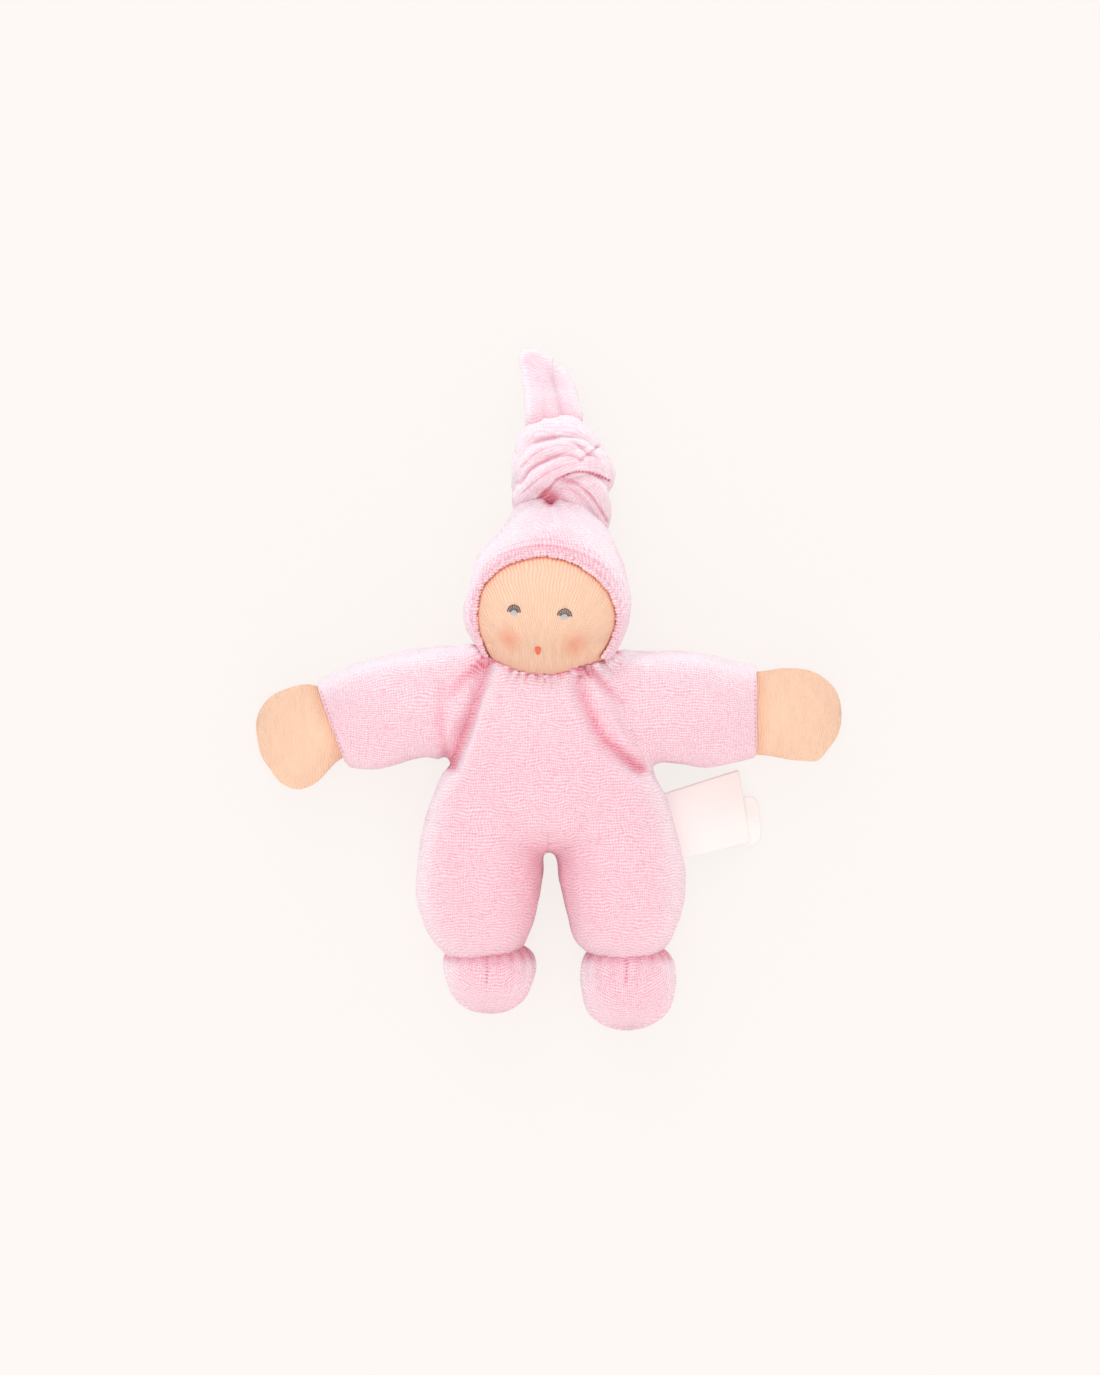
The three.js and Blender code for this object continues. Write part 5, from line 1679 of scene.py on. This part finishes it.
    def build(self) -> None:
        """Make the head's skin, eyes, mouth, neck and cord."""
        shares = ((s, math.sqrt(1 - s * s)) for s in (-1, -0.92, -0.7, -0.35, 0, 0.35, 0.7, 0.92, 1))
        ball = round_form([(HEAD[1] + s * HEAD_RADIUS, w * HEAD_RADIUS) for s, w in shares])
        skin = melded([ball.skin()], SMALL_VOXEL, 6)
        skin.points = HEAD + unit(skin.points - HEAD) * HEAD_RADIUS
        nodes = ("head_skin", "head_wool")
        face = Piece("head_skin_cloth", skin, Cloth.FACE, nodes, self._painted_shading, self._weave, self._blush)
        face.stuffed().rides("head")
        for word, centre in self.eyes:
            self._eye(word, centre)
        self._mouth()
        self._neck()


# Cap


# The gap under the knot, where the cap is drawn together and shade is painted dark
HOLE = np.array([0.9, 107.0, 19.0])

HOOD_ROWS = (
    (28.5, 0, 0, 33, 33), (31.5, -15, 15, 17, 49), (37, -22.5, 22.5, 8, 58), (42.5, -26.8, 26.6, 4, 62.5),
    (47.1, -29.4, 28.6, 2, 64.6), (53, -32.2, 31.4, 0.3, 66.2), (59.4, -33.7, 33, -0.5, 66.8),
    (64.5, -33.6, 33.7, -0.5, 66.6), (70, -32.2, 32.8, 0, 65.6), (76, -30.8, 31.8, 1.2, 63.6),
    (81, -29.4, 30.4, 3.4, 60.6), (85.5, -27.2, 28.6, 5.5, 56), (89.5, -23.4, 27, 8, 50.5),
    (93.5, -20, 25.2, 9.4, 44.6), (97.5, -16.8, 22.6, 10.4, 38.8), (101.5, -14, 18.6, 11.4, 33.4),
    (105, -9.6, 14.4, 13.4, 28.6), (107.6, -2.6, 9, 17, 24.6), (108.4, 3.6, 3.6, 21, 21),
)
# Places (x, y) from the middle of the head along the hood's open edge, from its left lower end to its right
FACE_EDGE = (
    (20.8, -19.6), (24.2, -15.1), (27.4, -7), (27, 1), (22.6, 9), (13.8, 16), (3.4, 20.2),
    (-6.6, 20.4), (-18.6, 16.2), (-26.2, 8.6), (-28.6, -1.4), (-28.2, -8.6), (-25.8, -15.4), (-23.4, -19.6),
)
# The folds beside the hem: how far each is from the edge, how far it stands out, and its width, in mm
RIM_FOLDS = ((1.7, 1.1, 1.3), (3.6, -0.9, 0.6), (5.2, 0.6, 1.1), (7.3, -0.4, 0.7), (9.0, 0.25, 1.0))

# What the knot is tied of: the core and the bands over it, from the collar round its top to the lowest fold
KNOT_CORE = (
    (97, 6, 6, 12, 12), (100, -6, 16, 4, 21), (108, -11, 21, 1, 28.4), (118, -12.4, 23.4, -0.5, 31.6),
    (127, -10.4, 20.6, 1, 29), (134, -6, 14.5, 5, 23), (138.4, 4, 4, 13, 13),
)
KNOT_BANDS = (
    Band(
        ((-9.5, 106, 1), (-10.6, 115, 6), (-10, 124, 12), (-7.4, 131.6, 17), (-2.6, 135.6, 21),
         (3.8, 136.6, 23), (9.8, 135.8, 22), (14.8, 131.8, 19), (18.6, 126.6, 14), (21, 121, 8)),
        9.0, 10.0,
    ),
    Band(
        ((-10.4, 110, 7), (-10.4, 117, 13), (-7.4, 122.4, 21.5), (-1.6, 126, 26.6), (5, 127.6, 28.6),
         (11, 127, 27.4), (16, 124.6, 23), (19, 121, 17)),
        8.0, 9.4,
    ),
    Band(
        ((-8.4, 100.5, 3), (-10, 104, 8), (-8.8, 109.4, 17.5), (-4.2, 113.6, 24.5), (1.2, 117, 29),
         (7.8, 120.4, 30.6), (14, 122.4, 29.6), (19.4, 122, 25), (22.2, 119.4, 19), (23, 115, 11),
         (21, 110, 4)),
        8.4, 12.0,
    ),
    Band(
        ((7, 116, 23.4), (13.4, 114, 26.4), (18, 110.2, 25.2), (20.4, 105.2, 20), (21, 99.4, 13),
         (19, 94.5, 6)),
        8.8, 12.0,
    ),
    Band(
        ((1.5, 110.6, 21), (6.5, 109.4, 26), (12, 106.4, 25.6), (16.4, 101.6, 21), (18.8, 96.6, 13.4)),
        6.4, 6.8,
    ),
)
KNOT_CREASES = (
    Crease(
        ((-4.8, 130.4), (0, 131.6), (5.6, 131.8), (10.4, 130.6), (14, 128.4), (17.8, 125.4)),
        depth=1.3, width=1.0, start=0.3, over=0.8, crease_shade=0.85,
    ),
    Crease(
        ((-12, 113.6), (-8, 118.6), (-2, 122), (4, 124.4), (8.6, 124.8), (14, 122.6)),
        depth=1.1, width=0.9, end=0.35, over=0.7, crease_shade=0.7,
    ),
    Crease(
        ((-8.6, 103.8), (-3.3, 107.4), (0, 110.6), (3.4, 114), (8.2, 116.4)),
        depth=1.3, width=0.9, end=0.7, over=0.8, crease_shade=0.8,
    ),
    Crease(
        ((8.2, 116.4), (12, 117.5), (17.2, 117.2), (21.3, 116), (25, 114.6)),
        depth=0.8, width=0.7, start=0.9, end=0.7, over=0.5, crease_shade=0.55,
    ),
    Crease(
        ((4.2, 113.4), (10.4, 113), (15.4, 109.4), (20, 104), (24, 98)),
        depth=0.9, width=0.9, start=0.5, over=-0.5, crease_shade=0.5,
    ),
    Crease(((13.4, 121.8), (16.4, 124.6), (20.6, 128)), depth=0.9, width=0.9, start=0.6, over=-0.5, crease_shade=0.4),
    Crease(((-11, 120), (-5, 125.4), (2, 128.2), (8, 128.4)), depth=0.5, width=0.6, end=0.4, crease_shade=0.35),
    Crease(((-10, 109.6), (-4, 114.6), (3, 118.8), (11, 121)), depth=0.5, width=0.6, end=0.4, crease_shade=0.35),
)
KNOT_SEAM = ((6.4, 115.4), (8.6, 116.9), (12, 117.8), (17.2, 117.4), (21.3, 116.2), (25, 114.8))

TIP_ROWS = (
    (132.5, 3, 3, 16, 16), (134.5, -7.4, 12.4, 8, 23.5), (138, -9.6, 14.4, 6, 25.5),
    (141.2, -9.4, 14.2, 5.5, 25), (146, -9.9, 13.6, 2.5, 22.5), (151.5, -10.2, 12.2, 0, 17.5),
    (157.5, -10.6, 9.4, -0.5, 13), (162, -11.6, 6, -0.5, 10), (165.8, -12, 1.6, -0.5, 7.6),
    (168.4, -11.4, -3.4, 0, 5.6), (169.6, -8, -8, 2, 2),
)
TIP_FOLDS = (
    Crease(
        ((0.5, 160), (2.4, 155), (4.4, 148), (6.2, 139)),
        depth=1.7, width=1.5, start=0.3, over=-0.7, crease_shade=0.3,
    ),
    Crease(((-3.4, 156), (-2.2, 149), (-1.2, 139)), depth=0.8, width=1.4, start=0.2, over=0.2, crease_shade=0.2),
)


def front_of_crown(points: Points) -> Values:
    """Say how far points lie on the front of the cap's crown, from 0 to 1."""
    return smoothstep(points[:, 2], 10, 20)


@dataclass
class Cap:
    """The terry cap: a hood open at the face, its rolled hem, the tied knot and the tip beyond it.

    Attributes:
        rim_points: How many points the hood's edge has.
        hood_steps: How many rings of points it has from its edge to its back.
        crown_gathers: How many folds the crown has round the knot.
        hem_high: How high the hem's roll stands, in mm.
        hem_wide: How wide it is.
        hem_loop: How far apart the loops of pile along it are.
        wales_radius: The radius round which the hood's wales are laid.
        knot_centre: What the knot's bands are wound round.
        knot_bend: Where above the crown the knot would start and end to bend, in mm; passed on but not used.
        tip_bend: The same for the tip, above its root; passed on but not used.
    """

    rim_points: int = 300
    hood_steps: int = 96
    crown_gathers: int = 11
    hem_high: float = 1.25
    hem_wide: float = 1.5
    hem_loop: float = 1.5
    wales_radius: float = 26.0
    knot_centre: Place = (5.5, 117.0, 8.0)
    knot_bend: tuple[float, float] = (1.0, 11.0)
    tip_bend: tuple[float, float] = (-1.0, 8.0)

    def _rim(self) -> Points:
        """Work out the hood's open edge, as ways from the middle of the head."""
        x, y = evenly(curve_through(FACE_EDGE, False, 12), 80).T
        z = np.sqrt(np.clip(HEAD_RADIUS**2 - x * x - y * y, 1.0, None))
        front = np.stack([x, y, z], axis=1) / HEAD_RADIUS
        drop = FACE_EDGE[0][1] / HEAD_RADIUS
        first, last = (math.atan2(end[0], end[2]) for end in (front[-1], front[0]))
        around = np.linspace(first, last - FULL_TURN, 50)[1:-1]
        reach = math.sqrt(1 - drop**2)
        back = np.stack([reach * np.sin(around), np.full(len(around), drop), reach * np.cos(around)], axis=1)
        loop = evenly(np.vstack([front, back]), self.rim_points, True)
        for _ in range(12):
            loop = loop * 0.5 + (np.roll(loop, 1, 0) + np.roll(loop, -1, 0)) * 0.25
        return unit(loop)

    def _hood(self, rim: Points) -> Skin:
        """Stretch the hood from its edge to its back, with its folds, and keep the way from the edge."""
        steps, count = self.hood_steps, self.rim_points
        form = StuffedForm(Axis.Y, HOOD_ROWS, 2.0).skin(90, 120)
        tree = BVHTree.FromPolygons((form.points - HEAD).tolist(), form.faces)
        pole = unit(np.array([0.0, 0.35, -0.94]))
        whole = np.arccos(np.clip(rim @ pole, -1, 1))
        rows = []
        for share in np.arange(steps) / steps:
            first, second = (np.sin(part * whole) / np.sin(whole) for part in (1 - share, share))
            rows.append(rim * first[:, None] + pole * second[:, None])
        ways = unit(np.vstack([*rows, pole[None]]))
        reach = np.array([tree.ray_cast((0, 0, 0), tuple(way))[3] or HEAD_RADIUS for way in ways])
        outside = ways * reach[:, None]
        points = outside + HEAD
        passed = np.append(np.repeat(np.arange(steps) / steps, count), 1.0)
        from_rim = passed * np.append(np.tile(whole, steps), whole.mean()) * HEAD_RADIUS
        self.from_rim = np.tile(from_rim, 2)
        folded = sum(height * bell(from_rim - place, width) for place, height, width in RIM_FOLDS)
        folded *= (0.25 + 0.75 * smoothstep(outside[:, 2], 4, 18)) * smoothstep(outside[:, 1], -21, -13)
        spin = np.arctan2(points[:, 0] - KNOT_PIVOT[0], points[:, 2] - KNOT_PIVOT[2])
        gathers = 0.35 * np.sin(self.crown_gathers * spin + 0.7 * np.sin(3 * spin))
        gathers *= smoothstep(points[:, 1], 84, 96)
        drawn_in = 3.6 * bell(points[:, 0] - HOLE[0], 2.2) * smoothstep(points[:, 1], 102.5, 107)
        soft = 0.35 * lumps(points, 13, 50) + 0.5 * lumps(points, 26, 51)
        drawn_in *= front_of_crown(points)
        reach = reach + folded + gathers - drawn_in + soft * smoothstep(from_rim, 3, 12)
        reach = np.maximum(reach, HEAD_RADIUS + 0.35 + TERRY)
        inside = np.maximum(reach - TERRY, HEAD_RADIUS + 0.3)
        last = len(ways) - 1
        closing = [(last - count + j, last - count + (j + 1) % count, last) for j in range(count)]
        faces = two_sided(between_rings(steps, count) + closing, range(count)[::-1], len(ways))
        shells = [ways * far[:, None] + HEAD for far in (reach, inside)]
        return turned_out(Skin(np.vstack(shells), faces)).settle()

    def _hem(self, rim: Points) -> Skin:
        """Roll the hood's edge under, with loops of pile standing up along it, and keep where they part."""
        count, around = self.rim_points * 3, 22
        ways = unit(evenly(rim, count, True))
        line = ways * (HEAD_RADIUS + 1.2)
        length = np.linalg.norm(line - np.roll(line, 1, 0), axis=1).sum()
        inwards = np.cross(unit(np.roll(line, -1, 0) - np.roll(line, 1, 0)), ways)
        wave = round(length / self.hem_loop) * np.arange(count) / count * FULL_TURN
        loops = np.sin(wave + 0.9 * np.sin(0.31 * wave)) + 0.5 * np.sin(0.43 * wave + 2)
        size = ((0.6 + 0.4 * smoothstep(line[:, 1], -20, -13)) * (1 + 0.13 * loops))[:, None]
        rings = []
        for turn in np.linspace(0, FULL_TURN, around, endpoint=False):
            high, wide = self.hem_high * math.cos(turn), self.hem_wide * math.sin(turn)
            rings.append(line + size * (high * ways + wide * inwards))
        self.between_loops = np.repeat(np.clip(-loops, 0, 1), around)
        points = np.stack(rings, axis=1).reshape(-1, 3) + HEAD
        skin = turned_out(Skin(points, between_rings(count, around, looped=True)))
        skin.push(0.18 * lumps(skin.points, 1.6, 60, 24) + 0.2 * lumps(skin.points, 4, 61))
        return skin.settle()

    def _hood_knit(self, points: Points) -> Points:
        """Lay the knit's wales up the hood, evenly all round it."""
        radius = (self.wales_radius, self.wales_radius)
        return knitted_round(points, Axis.Y, (0.0, HEAD[2] - 8), radius)[:, [1, 0, 2]]

    def _hood_painted_shading(self, points: Points) -> Values:
        """Say how much shade is painted on each point of the hood: over the front of the crown and the gap
        under the knot, lower down, beside the hem's folds and down the middle of its front, with painted
        highlight at the sides of its front.
        """
        x, y, z = points.T
        crown = 0.25 * smoothstep(y, 97, 106)
        hole = 1.6 * bell(x - HOLE[0], 1.8) * smoothstep(y, 102.5, 106.5)
        low = 0.16 * smoothstep(-y, -70, -45)
        under_hem = 0.4 * bell(self.from_rim - 3.5, 0.6) + 0.15 * bell(self.from_rim - 7.4, 0.7)
        middle = 0.26 * bell(x, 21) - 0.12 * smoothstep(np.abs(x), 18, 30)
        front = smoothstep(z, HEAD[2], HEAD[2] + 16)
        return (crown + hole) * front_of_crown(points) + low + front * (under_hem + middle)

    def _tip_knit(self, points: Points) -> Points:
        """Lay the knit round the tip and over its end."""
        half = points[:, 2].max() / 2
        return knitted_round(points, Axis.Y, (2.0, half), (11.0, half), TIP_PIVOT[1])

    def _knot_knit(self, points: Points) -> Points:
        """Lay the knit along the nearest of the knot's bands."""
        nearest = np.full(len(points), np.inf)
        laid = points.copy()
        for number, band in enumerate(KNOT_BANDS):
            share, coordinates = band.weave(points, np.array(self.knot_centre))
            closer = share < nearest
            nearest = np.where(closer, share, nearest)
            laid = np.where(closer[:, None], coordinates + (0, 41.0 * number, 0), laid)
        return laid

    def _knot(self) -> None:
        """Tie the knot of its bands, with its creases, its dotted seam and the gap under it."""
        centre = np.array(self.knot_centre)
        core = StuffedForm(Axis.Y, KNOT_CORE, 2.1).skin()
        skin = melded([core, *(band.skin(centre) for band in KNOT_BANDS)], KNOT_VOXEL, 16)

        def front(points: Points) -> Values:
            """Say how far points lie on the knot's front."""
            return smoothstep(points[:, 2], 9, 17)

        def near_hole(points: Points, width: float) -> Values:
            """Say how near points are to the gap under the knot."""
            return bell(np.linalg.norm((points - HOLE) * (0.8, 0.8, 0.3), axis=1), width)

        skin.push(front(skin.points) * sum(crease.relief(skin.points) for crease in KNOT_CREASES))
        skin.push(-2.0 * near_hole(skin.points, 2.4))
        skin.push(0.2 * lumps(skin.points, 7, 70)).settle()
        sunk = np.clip(skin.sunk(14) / 0.3, -0.6, 1)

        def hollow(points: Points) -> Values:
            """Say how much shade is painted on each point of the knot: in its creases, where it sinks in,
            lower down and at the gap under it, with painted highlight where it bulges and along its top.
            """
            lines = front(points) * sum(crease.colour(points) for crease in KNOT_CREASES)
            low = 0.12 * smoothstep(-points[:, 1], -128, -110) - 0.3 * smoothstep(points[:, 1], 128, 137)
            return 0.5 * lines + 0.45 * sunk + low - 0.1 + 2.4 * near_hole(points, 3.0)

        knot = Piece("cap_knot_cloth", skin, Cloth.TIGHT_TERRY, ("cap_knot",), hollow, self._knot_knit)
        seam = StitchRow(KNOT_SEAM, 1.3, 1.0, 0.6).piece("cap_knot_seam_stitches", skin)
        for piece in (knot.stuffed(), seam):
            piece.bends("head", "knot", *(KNOT_PIVOT + (0, far, 0) for far in self.knot_bend))

    def _tip(self) -> None:
        """Make the flattened tip past the knot, with its two long folds."""
        skin = melded([StuffedForm(Axis.Y, TIP_ROWS, 2.2).skin()], TIP_VOXEL, 4)

        def folded(points: Points, read: Callable[[Crease, Points], Values]) -> Values:
            """Read the folds on the tip's front."""
            return smoothstep(points[:, 2], 3, 8) * sum(read(fold, points) for fold in TIP_FOLDS)

        def hollow(points: Points) -> Values:
            """Say how much shade is painted on each point of the tip: in its folds and at its root, with
            slight painted highlight elsewhere.
            """
            root = 1 - smoothstep(points[:, 1], 139.5, 143.5)
            return folded(points, Crease.colour) - 0.1 + 0.3 * root

        skin.push(folded(skin.points, Crease.relief))
        skin.push(0.25 * lumps(skin.points, 9, 80)).settle()
        tip = Piece("cap_tip_cloth", skin, Cloth.TIGHT_TERRY, ("cap_tip",), hollow, self._tip_knit)
        tip.stuffed().bends("knot", "tip", *(TIP_PIVOT + (0, far, 0) for far in self.tip_bend))

    def build(self) -> Skin:
        """Make the hood, its hem, the knot and the tip.

        Returns:
            The hem's surface, which rests on the face.
        """
        rim = self._rim()
        skin = self._hood(rim)
        hood = Piece("cap_hood_cloth", skin, Cloth.TERRY, ("cap_hood",), self._hood_painted_shading, self._hood_knit)
        # The sheet's flat size is a square of the area of its outer side
        side = math.sqrt(skin.area() / 2) * MM
        hood.rides("head").obj
        hem = self._hem(rim)
        # Painted shade between the hem's loops of pile, with slight painted highlight elsewhere
        parted = 0.4 * self.between_loops - 0.12
        roll = Piece("cap_hem_roll", hem, Cloth.TERRY, ("cap_hem",), lambda _: parted, whole=skin)
        roll.stuffed().rides("head")
        self._knot()
        self._tip()
        return hem


# Labels


@dataclass(frozen=True)
class Ribbon:
    """A bare ribbon label folded into the side seam, with a soft curl.

    Attributes:
        name: Its piece name.
        node: The CAD node that it stands for.
        corners: Its root's upper end, its outer upper corner, its outer lower corner and its root's lower
            end, as places (x, y, z) in mm.
        thick: How thick it is.
        corner: The radius of its outer corners.
        curl: How far its middle rises.
        bend: How far from its root it would bend; passed on but not used.
    """

    name: str
    node: str
    corners: tuple[Place, Place, Place, Place]
    thick: float
    corner: float
    curl: float
    bend: float = 6.0

    def build(self) -> None:
        """Make the ribbon, hung in the side seam."""
        upper, outer_up, outer_down, lower = np.array(self.corners, float)
        long, wide = np.linalg.norm(outer_up - upper), np.linalg.norm(lower - upper)
        steps, rows = 48, 34
        v = np.linspace(0, 1, rows + 1)[:, None, None]
        inset = np.maximum(0.0, self.corner - np.minimum(v, 1 - v) * wide)
        cut = self.corner - np.sqrt(np.maximum(0.0, self.corner**2 - inset**2))
        u = np.linspace(0, 1, steps + 1)[None, :, None] * (1 - cut / long)
        flat = (upper * (1 - u) + outer_up * u) * (1 - v) + (lower * (1 - u) + outer_down * u) * v
        rise = self.curl * np.sin(math.pi * np.minimum(1.0, u * 1.1)) * (0.6 + 0.8 * v)
        rise = rise + 0.35 * np.sin(2.4 * math.pi * v + 4 * u) * u
        sides = [(flat + rise * (0, 0, 1) - (0, 0, down)).reshape(-1, 3) for down in (0, self.thick)]
        number = np.arange(len(sides[0])).reshape(rows + 1, steps + 1)
        squares = np.stack([number[:-1, :-1], number[1:, :-1], number[1:, 1:], number[:-1, 1:]], axis=-1)
        rim = [*number[0], *number[1:, -1], *number[-1, -2::-1], *number[-2:0:-1, 0]]
        faces = two_sided([tuple(square) for square in squares.reshape(-1, 4)], rim, number.size, -1)
        skin = turned_out(Skin(np.vstack(sides), faces))
        root = (upper + lower) / 2
        piece = Piece(self.name, skin, Cloth.SATIN, (self.node,))
        piece.bends("trunk", "labels", root, root + unit(outer_up - upper) * self.bend)


LABELS = (
    Ribbon(
        "label_large_ribbon", "label_large",
        ((44.5, -14.6, 17), (78.6, -4.1, 4.5), (83.5, -34, 3.5), (52.6, -41.2, 15.5)),
        thick=0.4, corner=0.8, curl=1.2,
    ),
    Ribbon(
        "label_small_ribbon", "label_small",
        ((47, -20.5, 14.6), (86.6, -14.6, 1.6), (88.4, -34.6, 1.2), (51.5, -39, 13.2)),
        thick=0.4, corner=4.5, curl=0.5,
    ),
)


# Studio


@dataclass
class Studio:
    """A pale floor, soft light from above and a camera that looks straight down.

    Attributes:
        ground: The floor's colour.
        floor_reach: How far the floor reaches each way, in m.
        paper_glow: How much of the floor's own colour, rather than its light, the camera sees.
        paper_level: How bright that colour is.
        room: The colour of the light from all round.
        room_level: How bright that is.
        lens: The camera's lens, in mm.
        sensor_half: Half of its sensor's width, in mm.
        frame_height: How much the picture shows from top to bottom, in m.
        middle: The place (x, y) in the middle of the picture, in m.
        object_plane: How high the places are at which the picture has that height, in m.
        lamps: Each lamp's name, place, size and power, in m and W, and colour.
    """

    ground: str = "#fef9f6"
    floor_reach: float = 3.0
    paper_glow: float = 0.88
    paper_level: float = 0.975
    room: str = "#fffdfc"
    room_level: float = 1.0
    lens: float = 150.0
    sensor_half: float = 18.0
    frame_height: float = 0.563
    middle: tuple[float, float] = (0.0008, 0.0297)
    object_plane: float = 0.02
    lamps: tuple[tuple[str, Place, float, float, str], ...] = (
        ("soft_window", (-0.3, 1.25, 1.0), 0.9, 4.5, "#f5f3ff"),
        ("overhead_fill", (0.05, 0.1, 1.7), 1.4, 1.2, "#fffcfa"),
        ("low_fill", (0.1, -1.3, 0.9), 1.2, 4.0, "#fffaf8"),
    )

    def _paper(self) -> bpy.types.Material:
        """Put together the matt paper of the floor, which the camera sees in its own pale colour."""
        made = Shader("studio_paper")
        path = made.add("LightPath")
        rays = {0: path["Is Camera Ray"], 1: path["Is Glossy Ray"]}
        seen = made.add("Math", rays, operation="MAXIMUM")[0]
        seen = made.add("Math", {0: seen, 1: path["Is Transmission Ray"]}, operation="MAXIMUM")[0]
        matt = made.add("BsdfDiffuse", {"Color": linear(self.ground), "Roughness": 1.0})[0]
        glow = made.add("Emission", {"Color": linear(self.ground), "Strength": self.paper_level})[0]
        share = made.layered(0.0, (seen, self.paper_glow))
        made.add("OutputMaterial", {0: made.add("MixShader", {0: share, 1: matt, 2: glow})[0]})
        return made.material

    def _floor(self) -> None:
        """Lay the floor."""
        mesh = bpy.data.meshes.new("studio_floor")
        reach = self.floor_reach
        corners = [(x * reach, y * reach, 0) for x, y in ((-1, -1), (1, -1), (1, 1), (-1, 1))]
        mesh.from_pydata(corners, [], [(0, 1, 2, 3)])
        mesh.materials.append(self._paper())
        placed("studio_floor", mesh)

    def _lamp(self, name: str, place: Place, size: float, power: float, colour: str) -> None:
        """Hang a round soft lamp that faces the doll."""
        data = bpy.data.lights.new(name, "AREA")
        data.shape = "DISK"
        data.size = size
        data.energy = power
        data.color = linear(colour)[:3]
        lamp = placed(name, data)
        lamp.location = place
        lamp.rotation_euler = (Vector((0, 0.02, 0.02)) - Vector(place)).to_track_quat("-Z", "Y").to_euler()

    def _camera(self) -> None:
        """Set up the camera straight above, so far that the picture has its height."""
        data = bpy.data.cameras.new("photo_camera")
        data.lens = self.lens
        data.clip_end = 20.0
        camera = placed("photo_camera", data)
        distance = self.frame_height / 2 * self.lens / self.sensor_half
        camera.location = (*self.middle, self.object_plane + distance)
        bpy.context.scene.camera = camera

    def build(self) -> None:
        """Set up floor, light and camera."""
        self._floor()
        for lamp in self.lamps:
            self._lamp(*lamp)
        world = bpy.data.worlds.new("studio_room")
        world.use_nodes = True
        background = world.node_tree.nodes["Background"]
        background.inputs[0].default_value = linear(self.room)
        background.inputs[1].default_value = self.room_level
        bpy.context.scene.world = world
        self._camera()
        bpy.context.scene.view_settings.view_transform = "Standard"


def main() -> None:
    """Build the doll and its studio."""
    logging.basicConfig(level=logging.INFO, format="%(name)s: %(message)s")
    Suit().build()
    Feet().build()
    Hands().build()
    hem = Cap().build()
    Head(hem).build()
    for ribbon in LABELS:
        ribbon.build()
    Studio().build()


if __name__ == "__main__":
    main()
